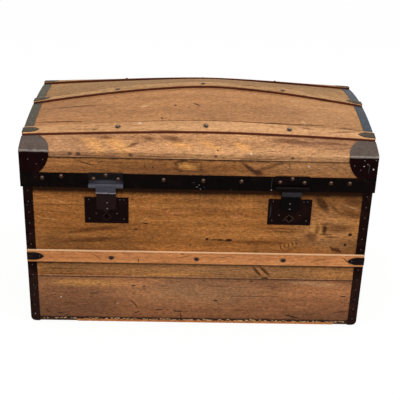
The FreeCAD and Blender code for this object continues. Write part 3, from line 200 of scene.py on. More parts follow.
# kind: colour, strength, softness, depth, growth; a later kind lies on an earlier one
MARKS = {
    "haze": ((206, 156, 108), 0.34, 0.95, 0, 1.0),
    "dull": ((150, 108, 82), 0.32, 0.95, 0, 1.0),
    "shade": ((74, 42, 20), 0.2, 0.95, 0, 1.0),
    "gold": ((232, 164, 88), 0.55, 0.85, 0, 1.5),
    "pink": ((214, 136, 92), 0.5, 0.7, 0, 1.4),
    "pale": ((226, 178, 128), 0.34, 0.7, 0, 1.5),
    "stain": ((92, 52, 24), 0.68, 0.6, 0, 1.4),
    "blot": ((66, 36, 16), 0.85, 0.42, 0, 1.3),
    "ring": ((70, 36, 28), 0.82, 0.5, 0, 1.0),
    "knot": ((62, 26, 12), 0.88, 0.6, 0, 1.2),
    "crack": ((62, 26, 14), 0.88, 0.5, -0.8, 1.7),
    "hole": ((30, 16, 14), 0.95, 0.32, -1.0, 1.5),
    "white": ((246, 240, 230), 0.85, 0.45, 0.3, 0.95),
    "scuff": ((70, 70, 78), 0.6, 0.5, 0.3, 1.0),
    "steel": ((92, 92, 104), 0.8, 0.8, 0, 1.0),
    "smudge": ((26, 22, 26), 0.7, 0.7, 0, 1.0),
    # shine: bright wear on the irons, and painted highlights on nails, rivets and the right hasp
    "shine": ((172, 164, 160), 0.8, 0.5, 0.2, 1.0),
    # halo: iron stain with painted shadow round the nail heads
    "halo": ((38, 18, 10), 0.85, 0.35, 0, 1.0),
    "glow": ((214, 150, 78), 0.75, 0.7, 0, 1.0),
    "line": ((136, 110, 80), 0.55, 0.5, 0.4, 1.0),
    "faint line": ((110, 84, 62), 0.3, 0.5, 0.3, 1.0),
}

MOST = (0.3, 0.7)                       # where most of a noise lies
# noise: cells to the metre along the grain and across it, detail, roughness, step of the seed
WOOD_NOISE = {
    "warp": (2.2, 11, 2.0, 0.5, 0),
    "vary": (3, 30, 2.0, 0.6, 3),
    "streak": (1.6, 42, 4.0, 0.62, 5),
    "fine": (45, 520, 3.0, 0.7, 7),
    "speck": (260, 260, 2.0, 0.6, 9),
    "mottle": (24, 150, 4.0, 0.7, 10),
    "pore": (110, 320, 2.0, 0.6, 12),
    "broad": (3.4, 9, 3.0, 0.55, 11),
}
RING_WARP, RING_DRIFT = 0.055, 0.022    # how the year rings sway, and how they run off a board
RISE_POWER, FALL_RATE = 1.8, 5.0        # a year ring darkens slowly and ends abruptly
RING_LEAST = 0.25                       # of a ring's strength, where it is faintest
STREAK_DARK, STREAK_SHARE = (0.6, 0.74), 0.3
PATCH_EDGE, PATCH_GROWTH, PATCH_STRENGTH = (0.62, 0.72), (0.3, 0.2), 0.7
FINE_GRIT, SPECK_GRIT, MOTTLE_GRIT, PORE_GRIT = 1.2, 0.9, 0.9, 1.7
# saw lines: cells to the metre across and along a line, their zone's edge, strength
SAW_ACROSS, SAW_ALONG, SAW_EDGE, SAW_STRENGTH = 330, 12, (1.3, 0.6), 0.6
FINE_RELIEF, RING_RELIEF, STREAK_RELIEF, MARK_RELIEF = 0.7, -0.35, 0.5, 2.0


def wood(name, light, mid, dark, grain="X", log=(0, -160), gap=7.0, contrast=0.5, patch=None,
         patch_share=0.4, marks=(), knots=(), plane="XZ", level=-237.5, saw=(), facing=(),
         bands=(), rough=0.68, seed=1.0, fibre=1.0, sheen_level=0.16):
    """Old pine. log is the heart of the tree, across and behind the board, in millimetres;
    gap is the width of a year ring; knots bend the rings round them. plane and level say
    which face the marks lie on, saw holds ovals with saw lines, facing tints by the way
    that a face looks, patch is a broad tint and fibre the strength of the fine grain."""
    s = Shader(name)
    long_scale = (lambda a, c: (a, c, c)) if grain == "X" else (lambda a, c: (c, a, c))
    along, side = (s.x, s.y) if grain == "X" else (s.y, s.x)
    across = s.z
    if plane == "XY":
        side, across = across, side
    shake = s.node("TexNoise", {"Vector": s.mapped(WAVER_CELLS), "Scale": 1.0, "Detail": 2.0})
    shaken = s.node("VectorMath", {0: shake.outputs["Color"], 1: (0.5, 0.5, 0.5)},
                    operation="SUBTRACT").outputs[0]
    shaken = s.node("VectorMath", {0: shaken, 1: MARK_WAVER, 2: s.place},
                    operation="MULTIPLY_ADD").outputs[0]
    warp, vary, streak, fine, speck, mottle, pore, broad = (
        s.noise(long_scale(*cells), detail, coarse, seed + step)
        for *cells, detail, coarse, step in WOOD_NOISE.values())

    u = s.calc("SUBTRACT", across, log[0] * MM)
    v = s.calc("SUBTRACT", side, log[1] * MM)
    radius = s.calc("SQRT", s.total(s.calc("MULTIPLY", u, u), s.calc("MULTIPLY", v, v)))
    field = s.total(radius, s.calc("MULTIPLY", warp, RING_WARP),
                    s.calc("MULTIPLY", along, RING_DRIFT))
    for knot in knots:
        away = s.oval(plane, *knot[:4], 0, level, s.place)
        bell = s.calc("EXPONENT", s.calc("MULTIPLY", s.calc("MULTIPLY", away, away), -1.0))
        field = s.calc("MULTIPLY_ADD", bell, knot[4] * MM, field)
    phase = s.calc("FRACT", s.calc("DIVIDE", field, gap * MM))
    late = s.calc("MINIMUM", s.calc("POWER", phase, RISE_POWER),
                  s.calc("MULTIPLY", s.calc("SUBTRACT", 1.0, phase), FALL_RATE))
    late = s.calc("MULTIPLY", late, s.ease(vary, *MOST, RING_LEAST, 1.0))

    colour = s.mix(s.ease(streak, *MOST), rgb(*light), rgb(*mid))
    colour = s.mix(s.calc("MULTIPLY", late, contrast), colour, rgb(*dark))
    colour = s.mix(s.ease(streak, *STREAK_DARK, 0, STREAK_SHARE), colour, rgb(*dark))
    if patch:
        low, high = (edge - patch_share * growth
                     for edge, growth in zip(PATCH_EDGE, PATCH_GROWTH))
        colour = s.mix(s.ease(broad, low, high, 0, PATCH_STRENGTH), colour, rgb(*patch))
    colour = s.banded(colour, bands)
    colour, depth = s.marked(colour, marks, plane, level, shaken)
    grit = s.total(s.swing(fine, FINE_GRIT * fibre), s.swing(speck, SPECK_GRIT * fibre),
                   s.swing(mottle, MOTTLE_GRIT * fibre), s.swing(pore, PORE_GRIT * fibre), 1.0)
    for zone in saw:
        cells = ((SAW_ACROSS, SAW_ACROSS, SAW_ALONG) if plane == "XZ"
                 else (SAW_ACROSS, SAW_ALONG, SAW_ACROSS))
        lines = s.noise(cells, 2.0, 0.6, seed + 13)
        here = s.ease(s.oval(plane, *zone, 0, level, s.place), *SAW_EDGE)
        grit = s.calc("MULTIPLY_ADD", s.calc("MULTIPLY", here, SAW_STRENGTH),
                      s.calc("SUBTRACT", lines, 0.5), grit)
    colour = s.shaded(colour, grit)
    for axis, low, high, tone, share in facing:
        value = {"y": s.ny, "z": s.nz}[axis]
        colour = s.mix(s.ease(value, low, high, 0, share), colour, rgb(*tone))
    height = s.total(s.calc("MULTIPLY", fine, FINE_RELIEF),
                     s.calc("MULTIPLY", late, RING_RELIEF),
                     s.calc("MULTIPLY", streak, STREAK_RELIEF),
                     s.calc("MULTIPLY", depth, MARK_RELIEF))
    sheen = s.ease(fine, 0.2, 0.8, rough + 0.12, rough - 0.1)
    return s.finish(colour, sheen, height, strength=0.4, reach=0.7,
                    Specular_IOR_Level=sheen_level)


# noise: cells to the metre, detail, roughness, seed
IRON_NOISE = {"blotch": (34, 4.0, 0.62, 2.0), "small": (190, 4.0, 0.65, 4.0)}
DUST_AND_SHEEN = (0.3, 0.75)             # how far up a face looks where dust and the painted sheen begin and where they are full
RUSTY = (0.5, 0.68)             # the blotches' noise where rust begins and where it is full
# specks: cells to the metre, the share of them that hold one, its edge, strength and colour
SPECK_CELLS, SPECK_SHARE, SPECK_EDGE = 95.0, (0.25, 0.2), (0.14, 0.07)
SPECK_STRENGTH, SPECK_TONE = 0.6, (104, 96, 88)
BLOTCH_RELIEF, SMALL_RELIEF = 1.4, 0.5


def iron(name, front, top, rust=(70, 38, 26), rust_share=0.35, dots=0.6, marks=(), plane="XZ",
         level=-242.5, rough=0.5, metal=0.0, specular=0.3, bands=(), grain=0.5):
    """Thin black iron: front colour on upright faces, top colour on upward faces for dust and
    a painted sheen of light from above, rust in blotches, and dots as the share of places with a
    pale speck of wear."""
    s = Shader(name)
    blotch, small = (s.noise((cells,) * 3, *rest) for cells, *rest in IRON_NOISE.values())
    # upward faces take the top colour: dust, and a painted sheen of light from above
    colour = s.mix(s.ease(s.nz, *DUST_AND_SHEEN), rgb(*front), rgb(*top))
    colour = s.banded(colour, bands)
    colour = s.mix(s.ease(blotch, *RUSTY, 0, rust_share), colour, rgb(*rust))
    colour = s.shaded(colour, s.total(s.swing(small, 2.0 * grain), s.swing(blotch, grain), 1.0))
    cells = s.node("TexVoronoi", {"Vector": s.place, "Scale": SPECK_CELLS})
    lone = s.ease(s.split(cells.outputs["Color"])[0],
                  *(1.0 - share * dots for share in SPECK_SHARE))
    dot = s.calc("MULTIPLY", s.ease(cells.outputs["Distance"], *SPECK_EDGE), lone)
    colour = s.mix(s.calc("MULTIPLY", dot, SPECK_STRENGTH), colour, rgb(*SPECK_TONE))
    colour, depth = s.marked(colour, marks, plane, level, s.place)
    height = s.total(s.calc("MULTIPLY", blotch, BLOTCH_RELIEF),
                     s.calc("MULTIPLY", small, SMALL_RELIEF), depth)
    gloss = s.ease(small, *MOST, rough + 0.1, rough - 0.08)
    return s.finish(colour, gloss, height, strength=0.45, reach=0.8, Metallic=metal,
                    Specular_IOR_Level=specular)


def dress(material, *names):
    """Gives CAD pieces a material."""
    for name in names:
        slots = nodes[name].data.materials
        slots.clear()
        slots.append(material)


WELD_REACH = 0.01               # millimetres
ARRIS_ANGLE = 40                # degrees; a flatter edge stays as it is


def soften(width, *names):
    """Rounds the arrises of CAD pieces by width millimetres."""
    for name in names:
        piece = nodes[name]
        weld = piece.modifiers.new("weld", "WELD")
        weld.merge_threshold = WELD_REACH * MM
        bevel = piece.modifiers.new("arris", "BEVEL")
        bevel.width = width * MM
        bevel.segments = 2
        bevel.limit_method = "ANGLE"
        bevel.angle_limit = math.radians(ARRIS_ANGLE)
        bevel.harden_normals = False
        piece.modifiers.new("normals", "WEIGHTED_NORMAL").keep_sharp = False


# ---------------------------------------------------------------- marks on the boards
# name, kind, place along and across the board, half length, half width, turn in degrees;
# a mark on another face than its board's own also gives that face's plane and level

def mark_row(name, kinds, count, start, step, *shape):
    """Equal marks from start on, each a step further; their kinds take turns."""
    return tuple((name, kinds[i % len(kinds)], start[0] + step[0] * i, start[1] + step[1] * i,
                  *shape) for i in range(count))


LID_MID_MARKS = (
    ("long check", "crack", -300, -68, 70, 1.2, -5),
    # the slat's shade lines are painted shade along the edges of the slats
    ("slat's shade", "stain", 0, -152.5, 396, 0.9, 0),
    ("slat's shade", "stain", 0, -21, 396, 1, 0), ("pale dent", "pale", -127, -94, 17, 3, 27),
    ("nick by the slat", "hole", -87, -143, 4, 1.4, -48),
    ("short check", "crack", -6, -97, 10, 1, -30),
    ("nick", "hole", -57, -98, 4, 1.4, -37), ("white fleck", "white", -233, -49, 1.4, 1.2, -45),
    ("low check", "crack", -326, -137, 60, 1.2, -5), ("scrape", "pale", -254, -146, 9, 1, -13),
    ("small scrape", "pale", -140, -156, 5, 1, -7), ("chip", "pale", 243, -140, 5, 3.5, -16),
    ("right check", "crack", 160, -151, 60, 1, 2), ("right check", "crack", 250, -147, 40, 1, 4),
    ("end check", "crack", 350, -148, 24, 1, -5), ("worn patch", "pale", 316, -19, 9, 4.5, -36),
    ("worn patch", "pale", 232, -44, 11, 5, 0), ("right bruise", "shade", 230, -103, 26, 6, 18),
    ("bruise by the slat", "stain", 298, -11, 24, 5, -16), ("bruise", "stain", 112, -13, 27, 4, 2),
    ("faded end", "haze", 320, -70, 100, 80, 0))
NOSING = ("XZ", -242)
LID_FRONT_TOP_MARKS = (
    ("burnish", "gold", -237, -222, 28, 8, -40), ("burnish", "gold", -187, -222, 30, 8, -35),
    ("burnish", "gold", -42, -223, 21, 5, -10), ("burnish", "gold", 23, -222, 23, 5, -28),
    ("burnish", "gold", 95, -223, 19, 5, -23), ("bruise", "stain", -63, -206, 20, 5, -18),
    ("bruise", "stain", -116, -205, 13, 4, -22), ("bruise", "stain", -150, -223, 14, 3, 29),
    ("bruise", "stain", -212, -202, 14, 3, -10), ("long bruise", "stain", 212, -205, 46, 5, -3),
    ("long bruise", "stain", 300, -206, 36, 2.6, 0), ("scratch", "stain", 317, -221, 33, 1, 4),
    ("paint fleck", "white", 115, -240, 2, 1.6, -20), ("nick", "hole", 41, -234, 2.5, 1, -28),
    ("scrape", "pale", 233, -199, 8, 1.2, -3), ("dull end", "dull", -330, -215, 90, 40, 0),
    ("nail stain", "ring", -290, 449, 5, 3.6, 0, *NOSING),
    ("nail stain", "ring", -271, 449, 5, 3.8, 0, *NOSING),
    ("nail stain", "ring", -154, 449, 5, 3.6, 0, *NOSING),
    ("nail stain", "ring", 36, 449, 4, 3, 0, *NOSING),
    ("nail stain", "ring", 208, 449, 4, 3, 0, *NOSING),
    ("worn edge", "pale", 300, 454, 46, 3, 0, *NOSING),
    ("grime line", "stain", -80, 446, 60, 1.2, 0, *NOSING),
    ("grime line", "stain", -230, 445, 50, 1, -1, *NOSING),
    ("grime line", "stain", 120, 445, 60, 1, 0, *NOSING))
LID_FRONT_MARKS = (
    ("check", "crack", -254, 426, 23, 0.8, -18), ("knot rim", "blot", -44, 434, 14, 2, 12),
    ("knot rim", "stain", -50, 415, 12, 2.2, -30), ("pale knot", "glow", -26, 423, 20, 7.5, -6),
    ("left rim", "blot", -51, 426, 7, 3, -60), ("right rim", "stain", 2, 420, 6, 3, 60),
    ("over the knot", "blot", -18, 434, 22, 1.4, 0),
    ("faded end", "haze", 270, 425, 110, 18, 0),
    ("under the knot", "stain", -20, 412, 24, 1.4, -4), ("groove", "stain", -122, 424, 7, 1, 84),
    ("nick", "hole", -105, 420, 1.6, 1, -35), ("nick", "hole", -218, 431, 1.6, 0.9, -19),
    ("bruise", "stain", -104, 441, 30, 2, -8), ("dark knot", "knot", 133, 411, 12, 6, -11),
    ("knot flame", "blot", 114, 421, 13, 3.6, -34), ("knot flame", "stain", 156, 424, 20, 3, 16),
    ("knot flame", "stain", 104, 429, 10, 3, -30), ("knot flame", "stain", 176, 432, 22, 2, 12),
    ("groove", "stain", 204, 431, 8, 1, -74), ("paint fleck", "white", 248, 429, 1.8, 1.6, -14),
    ("nick", "hole", 48, 424, 1.3, 1.1, -22), ("nick", "hole", 80, 435, 1.2, 1, -19),
    ("bruise", "stain", 0, 417, 14, 3.2, -41), ("bruise", "shade", 282, 411, 16, 5, -27))
BODY_UPPER_MARKS = (
    ("long scratch", "stain", -313, 320, 51, 1, 0), ("long scratch", "stain", -325, 301, 46, 1, -4),
    ("worn line", "pale", -325, 331, 13, 0.6, -13), ("worn line", "pale", -364, 287, 10, 0.6, -17),
    ("worn line", "pale", -340, 282, 12, 0.6, -7), ("grey bruise", "stain", -240, 257, 64, 3.6, 8),
    ("grey bruise", "stain", -250, 229, 72, 3.6, 5), ("dent", "hole", -120, 274, 5, 1, -10),
    ("dent", "hole", -144, 258, 5, 1, 15), ("scratch", "pale", -121, 289, 12, 0.6, 49),
    ("red streak", "pink", -45, 303, 31, 1.4, 5), ("red streak", "pink", -102, 311, 14, 1.2, -2),
    ("dot", "hole", -15, 219, 2, 1, -23), ("low scratch", "stain", -315, 150, 48, 1, 1),
    ("low scratch", "stain", -312, 136, 33, 1, 0), ("burnish", "gold", -76, 137, 48, 2, 2),
    ("dark branch", "blot", 287, 333, 21, 7.5, -49),
    ("branch light", "pale", 266, 335, 8, 0.6, -41),
    ("branch light", "pale", 356, 326, 25, 0.9, -20),
    ("branch shade", "stain", 358, 341, 22, 7, -6),
    ("flame", "stain", 357, 309, 26, 6, -10), ("flame", "stain", 318, 320, 14, 3, -40),
    ("knot", "knot", 298, 267, 5, 9, 0),
    ("knot light", "gold", 280, 270, 12, 9, 0), ("knot light", "gold", 312, 270, 8, 4, 0),
    ("over the knot", "stain", 297, 281, 16, 2, 8),
    ("beside the knot", "stain", 281, 267, 4.5, 11, 0),
    ("under the knot", "stain", 300, 254, 13, 2, 0),
    ("dark field", "shade", -240, 243, 150, 36, 4),
    ("dark field", "shade", -245, 258, 90, 9, 5), ("dark field", "shade", -240, 230, 95, 9, 4),
    ("light field", "haze", 305, 265, 60, 44, 0), ("worn strip", "haze", 30, 150, 360, 16, 0),
    ("knot shade", "stain", 324, 270, 32, 8, 0), ("knot shade", "stain", 314, 247, 15, 2, 0),
    ("knot foot", "stain", 269, 247, 13, 8, -10), ("shade", "stain", 193, 267, 44, 1.6, -1),
    ("shade", "stain", 207, 259, 30, 1.5, 0), ("red spot", "pink", 87, 298, 10, 4, 0),
    ("gouge", "hole", 23, 236, 3.4, 2, 26), ("gouge", "hole", 40, 234, 5, 0.9, 0),
    ("gouge", "hole", 55, 234, 10, 1.3, 0),
    ("gouge", "hole", 74, 234, 7, 2.4, 0), ("gouge", "hole", 360, 254, 4, 2.8, -2),
    ("gouge", "hole", 350, 227, 3, 2, 0), ("seam gap", "hole", 166, 132, 9, 1.1, 0),
    ("long bruise", "stain", 138, 230, 57, 3, -1), ("dark chip", "blot", 146, 149, 15, 2.6, -49),
    ("dark chip", "blot", 165, 151, 18, 2.4, -46), ("bare chip", "pink", 155, 150, 13, 2.6, -44),
    ("dent", "hole", 233, 168, 2, 0.8, -20)
) + mark_row("carved stroke", ("glow", "blot"), 10, (194, 216), (4.5, 1.5), 5, 0.8, -70
) + mark_row("cut", ("crack",), 3, (321, 215), (8, -2), 8, 1.7, -52)
BODY_LOWER_MARKS = (
    ("dent", "hole", -150, 105, 5, 1, 8), ("dent", "hole", -124, 103, 5, 0.8, 14),
    ("dent", "hole", -80, 106, 2, 0.8, -12), ("worn edge", "gold", -263, 111, 76, 6, 0),
    ("burn", "blot", -245, 82, 11, 1, 6), ("paint fleck", "white", -189, 53, 1.3, 1, -38),
    ("paint fleck", "white", -325, 70, 1.6, 0.9, -38), ("slash", "crack", -146, 52, 13, 0.8, -61),
    ("slash", "crack", -152, 59, 6, 0.7, -38), ("gouge", "hole", -87, 38, 10, 1, 10),
    ("gouge", "hole", -41, 34, 11, 1, -5), ("gouge", "hole", -327, 24, 8, 1, -5),
    ("gouge", "hole", -141, 29, 8, 0.8, 16), ("smear", "blot", -357, 29, 8, 1.2, -33),
    ("split", "crack", -34, 21, 7, 0.7, -89), ("scratch", "stain", -306, 54, 13, 1.2, -3),
    ("nick", "hole", 135, 123, 4, 1.1, -10), ("scratch", "stain", 186, 108, 22, 0.8, -2),
    ("long scratch", "stain", 139, 80, 82, 0.8, 1), ("gouge", "hole", 360, 84, 7, 1, 0),
    ("gouge", "hole", 50, 66, 6, 1, -4), ("pale field", "pale", 287, 118, 55, 4, -3),
    ("scratch", "stain", 56, 107, 22, 1.2, 0), ("torn foot", "hole", 240, 23, 19, 1.2, -16),
    ("smear", "blot", 359, 39, 19, 1, 7), ("worn middle", "haze", 0, 88, 150, 30, 0),
    ("scratch", "stain", 109, 39, 19, 1.2, -5))
BATTEN_NAILS, BATTEN_MIDDLE = (-201, 0, 206), 186
BATTEN_MARKS = (
    ("check", "crack", -137, 179, 5, 0.7, -79), ("scratch", "stain", -28, 192, 15, 0.8, 13),
    ("nick", "hole", -35, 199, 3, 0.7, -7), ("scratch", "stain", -234, 188, 11, 0.8, -37),
    ("check", "crack", 357, 188, 12, 0.8, -42), ("scratch", "stain", 67, 193, 18, 0.8, 7),
    ("scratch", "stain", 292, 189, 18, 0.8, 12)
# the halos round the batten nails are iron stain with painted shadow
) + tuple(("nail stain", "halo", along, BATTEN_MIDDLE, 6.4, 5.4, 0) for along in BATTEN_NAILS)
FRONT_SLAT_NAILS, MIDDLE_SLAT_NAILS = (-187, 14, 205), (-199, 10, 206)
SLAT_NAILS = tuple((along, across) for across, row in (
    (-176, FRONT_SLAT_NAILS), (0, MIDDLE_SLAT_NAILS)) for along in row)
SLAT_MARKS = (
    ("stripe", "stain", -268, -181, 33, 1, -1), ("check", "crack", -239, -183, 6, 1, 3),
    ("paint fleck", "white", -137, -166, 4, 1, -8), ("stripe", "stain", -79, -190, 35, 1.1, -1),
    ("stripe", "stain", 333, -171, 38, 1.8, 10), ("stripe", "stain", 248, -168, 13, 1.6, -10),
    ("stripe", "stain", -330, 8, 40, 2, -1), ("stripe", "stain", -268, 10, 28, 2.4, 1),
    ("bare spot", "pale", 134, -8, 27, 2.4, 4), ("stripe", "stain", 120, 8, 33, 2.4, 2),
    ("stripe", "stain", 281, 4, 16, 2, -20)
# the halos round the slat nails are iron stain with painted shadow
) + tuple(("nail stain", "halo", along, across, 6, 6.6, 0) for along, across in SLAT_NAILS)
# painted highlights on the slat nails' heads
NAIL_PAINTED_HIGHLIGHTS = tuple(
    ("painted highlight", "shine", along + 0.8, across + 0.6, 1.9, 1.9, 0) for along, across in SLAT_NAILS)

# ---------------------------------------------------------------- wood

dress(wood("body_upper_pine", (198, 130, 68), (162, 100, 48), (104, 60, 25), log=(250, -90),
           gap=9, contrast=0.5, patch=(128, 84, 46), patch_share=0.5, marks=BODY_UPPER_MARKS,
           knots=((298, 269, 34, 22, 30), (87, 298, 24, 9, 10), (-230, 262, 90, 14, 12),
                  (287, 325, 30, 30, -18)),
           saw=((15, 322, 180, 34), (15, 348, 400, 14)), fibre=1.05, sheen_level=0.07,
           # bands: a painted shadow under the lid band, a painted shadow under the batten, and a
           # painted highlight along the board's lower edge
           bands=(((344, 357), (36, 12, 0), 0.97), ((161.5, 166), (174, 171), (48, 22, 8), 0.9),
                  ((133, 131), (222, 166, 128), 0.6))),
      "front_board_upper", "back_board_upper")
dress(wood("body_lower_pine", (196, 129, 82), (166, 109, 69), (116, 71, 43), log=(60, -60),
           gap=8, contrast=0.4, patch=(128, 86, 58), patch_share=0.7, marks=BODY_LOWER_MARKS,
           # the last band, below about 13 mm, is the dark gap at the foot with painted shade on it
           seed=21, bands=(((125.5, 128), (74, 42, 22), 0.8), ((110, 20), (92, 56, 36), 0.4),
                           ((17, 13), (34, 18, 12), 0.94))),
      "front_board_lower", "back_board_lower")
dress(wood("end_pine", (180, 114, 62), (148, 88, 46), (98, 54, 26), grain="Y", log=(240, 900),
           plane="YZ", level=-399, gap=9, contrast=0.45, patch=(130, 82, 46), seed=31,
           knots=((70, 250, 30, 20, 26), (-110, 90, 36, 18, 20))),
      "left_end_board", "right_end_board", "lid_left_end_board", "lid_right_end_board", "lid_rib")
dress(wood("floor_pine", (244, 156, 90), (214, 132, 74), (132, 78, 44), grain="Y", plane="XY",
           level=0, log=(0, -300), gap=8, contrast=0.4, seed=41),
      "bottom_board_middle")
dress(wood("dark_floor_pine", (104, 66, 42), (78, 48, 30), (44, 28, 18), grain="Y", plane="XY",
           level=0, log=(0, -300), gap=8, contrast=0.4, seed=43),
      "bottom_board_left", "bottom_board_right")
dress(wood("batten_pine", (230, 154, 94), (198, 124, 70), (146, 80, 40), log=(150, -420), gap=7,
           contrast=0.35, marks=BATTEN_MARKS, level=-245.5, seed=51, fibre=0.65,
           # facing: a painted highlight on the top faces and painted shade on the undersides
           facing=(("z", 0.1, 0.5, (255, 212, 164), 0.95), ("z", -0.3, -0.9, (84, 36, 18), 0.85))),
      "front_batten", "back_batten")
# the slats' front and back faces: dark stain with painted shade
SLAT_SIDE_STAIN_AND_SHADE = (("y", -0.45, -0.8, (84, 28, 15), 0.95), ("y", 0.45, 0.8, (84, 28, 15), 0.95))
dress(wood("slat_pine", (212, 159, 110), (191, 140, 94), (150, 102, 64), plane="XY", level=500,
           log=(30, 300), gap=6, contrast=0.4, marks=SLAT_MARKS, seed=61, facing=SLAT_SIDE_STAIN_AND_SHADE,
           fibre=0.7),
      "lid_slat_front")
dress(wood("old_slat_pine", (186, 142, 96), (162, 120, 78), (116, 78, 48), plane="XY", level=520,
           log=(60, 280), gap=6, contrast=0.4, marks=SLAT_MARKS, seed=65, facing=SLAT_SIDE_STAIN_AND_SHADE),
      "lid_slat_middle", "lid_slat_back")
dress(wood("lid_front_pine", (186, 124, 68), (150, 94, 48), (92, 52, 24), log=(340, -150),
           gap=8, contrast=0.5, patch=(132, 84, 46), marks=LID_FRONT_MARKS, level=-241.5,
           knots=((-20, 426, 40, 16, 26), (132, 414, 26, 16, 22)), seed=71,
           # the band along the top edge is a painted shadow under the nosing, over the dark gap
           bands=(((435, 440), (34, 14, 6), 0.92),)),
      "lid_front_board", "lid_back_board")
dress(wood("lid_top_front_pine", (214, 158, 106), (184, 130, 86), (118, 76, 48), plane="XY",
           level=460, log=(-150, 250), gap=9, contrast=0.45, patch=(150, 104, 74),
           patch_share=0.6, marks=LID_FRONT_TOP_MARKS, saw=((230, -204, 110, 16),), seed=81,
           knots=((-200, -220, 70, 14, 14),)),
      "lid_top_board_front", "lid_top_board_back")
dress(wood("lid_top_pine", (184, 131, 86), (168, 117, 75), (130, 86, 53), plane="XY", level=500,
           log=(60, 200), gap=11, contrast=0.22, patch=(156, 110, 73), patch_share=0.5,
           marks=LID_MID_MARKS, seed=91, rough=0.75, fibre=0.75),
      "lid_top_board_mid_front")
dress(wood("lid_back_pine", (178, 134, 88), (152, 112, 72), (112, 78, 48), plane="XY", level=500,
           log=(0, 320), gap=10, contrast=0.3, patch=(142, 106, 70), patch_share=0.6, seed=95,
           rough=0.75), "lid_top_board_mid_back")

# ---------------------------------------------------------------- iron

LEFT_LOCK, RIGHT_LOCK = -210.5, 212.5
BAND_RIVETS = ((-354, 388.5), (-311, 393.5), (-80, 388.5), (10, 388.5), (97, 388.5),
               (301, 388.5), (344, 388.5))
HASP_RIVET_SPREAD, HASP_RIVETS_LOW, HASP_RIVET_HIGH = 27.7, 388.3, 397.5
RIVETS = BAND_RIVETS + tuple(
    (middle + side * HASP_RIVET_SPREAD, HASP_RIVETS_LOW if side else HASP_RIVET_HIGH)
    for middle in (LEFT_LOCK, RIGHT_LOCK) for side in (-1, 0, 1))
# painted highlights near the top of each rivet
RIVET_PAINTED_HIGHLIGHTS = tuple(
    ("painted highlight", "shine", along + 0.4, level + 3, 1.4, 0.65, 0) for along, level in RIVETS)
BAND_MARKS = (
    ("scuff", "shine", -4, 373, 1.6, 0.6, 30), ("scuff", "shine", 4, 368, 1.4, 0.6, -20),
    ("scuff", "shine", 1, 378, 1, 0.6, 60), ("scuff", "scuff", 12, 372, 2, 0.6, 10),
    ("scuff", "scuff", -14, 384, 2, 0.6, 10), ("band seam", "scuff", 166, 386, 14, 0.7, 88),
    ("scuff", "shine", 166, 369, 1.3, 1.3, 0), ("scuff", "scuff", 176, 369, 1.2, 1, 0))
dress(iron("band_iron", (8, 4, 3), (36, 27, 24), rust=(30, 15, 11), marks=BAND_MARKS,
           rough=0.6, specular=0.035, dots=0.3, grain=0.8), "lid_band")
dress(iron("corner_iron", (22, 3, 3), (98, 85, 78), rust=(38, 16, 13), rust_share=0.3,
           rough=0.5, specular=0.03, dots=1.0, grain=0.45,
           # the band along the bend: wear with a painted highlight
           bands=(((451, 453), (457, 455.5), (170, 156, 148), 0.7),),
           marks=(("paint", "white", 394, 425, 1.2, 2, 20), ("paint", "white", 372, 432, 1, 1, 0),
                  ("fleck", "shine", 380, 437, 1.2, 0.9, 0),
                  ("fleck", "shine", 372, 446, 1, 0.8, 0),
                  ("fleck", "shine", 398, 447, 1, 0.8, 0),
                  ("streak", "scuff", 384, 424, 9, 1, 88))),
      "lid_corner_iron_front_left", "lid_corner_iron_front_right",
      "lid_corner_iron_back_left", "lid_corner_iron_back_right")
dress(iron("left_strip_iron", (26, 18, 14), (86, 80, 68), rust=(92, 66, 44), rust_share=0.3,
           rough=0.6, specular=0.08), "lid_edging_left")
dress(iron("right_strip_iron", (22, 20, 20), (70, 76, 84), rust=(58, 54, 54), rust_share=0.3,
           rough=0.55, specular=0.1, dots=0.9), "lid_edging_right")
dress(iron("edging_iron", (24, 7, 4), (64, 50, 44), rust=(52, 27, 19), rust_share=0.45,
           rough=0.55, specular=0.035, dots=1.0, grain=0.9,
           bands=(((165, 115), (44, 26, 20), 0.7),),
           marks=(("worn foot", "shine", -389, 22, 1.6, 1.4, 0),
                  ("scrape", "scuff", -386, 95, 1.2, 5, 0),
                  ("scrape", "scuff", -392, 318, 1.4, 2, 0))),
      "corner_edging_front_left", "corner_edging_front_right",
      "corner_edging_back_left", "corner_edging_back_right")
dress(iron("clasp_iron", (22, 12, 11), (76, 71, 60), rust=(70, 46, 32), rough=0.55,
           specular=0.05), "slat_end_clasps", "batten_end_clasps")
# the middle of a diamond's side from the diamond's own middle, the side's slope, half its
# length and half the width of its line
DIAMOND_WIDE, DIAMOND_HIGH, DIAMOND_SLOPE, DIAMOND_SIDE = 5.5, 4.75, 41, (7.3, 0.5)
DIAMONDS = tuple(
    ("diamond", kind, middle + side * DIAMOND_WIDE, level + up * DIAMOND_HIGH, *DIAMOND_SIDE,
     -DIAMOND_SLOPE * side * up)
    for kind, middle, level in (("faint line", LEFT_LOCK, 291.5), ("line", RIGHT_LOCK, 295))
    for side in (-1, 1) for up in (-1, 1))
dress(iron("lock_iron", (20, 4, 4), (50, 38, 34), rust=(38, 18, 15), rough=0.5,
           specular=0.04, grain=0.35,
           marks=(("streak", "scuff", 168, 313, 16, 1.2, 88),) + DIAMONDS),
      "left_lock_plate", "right_lock_plate",
      "left_lock_case", "right_lock_case", "handle_brackets", "left_handle", "right_handle",
      "left_hinge_body_leaf", "right_hinge_body_leaf", "left_hinge_lid_leaf",
      "right_hinge_lid_leaf", "lid_hinge_pins")
dress(iron("left_hinge_iron", (14, 6, 6), (60, 56, 62), rust=(30, 16, 14), rough=0.45,
           # the blue-grey lower part and its worn middle mark: bare steel with a painted reflection
           # of light
           specular=0.08, grain=0.5, bands=(((379, 377), (92, 92, 104), 0.9),),
           marks=(("worn middle", "steel", LEFT_LOCK, 380, 32, 5, 0),)),
      "left_hasp_hinge_plate")
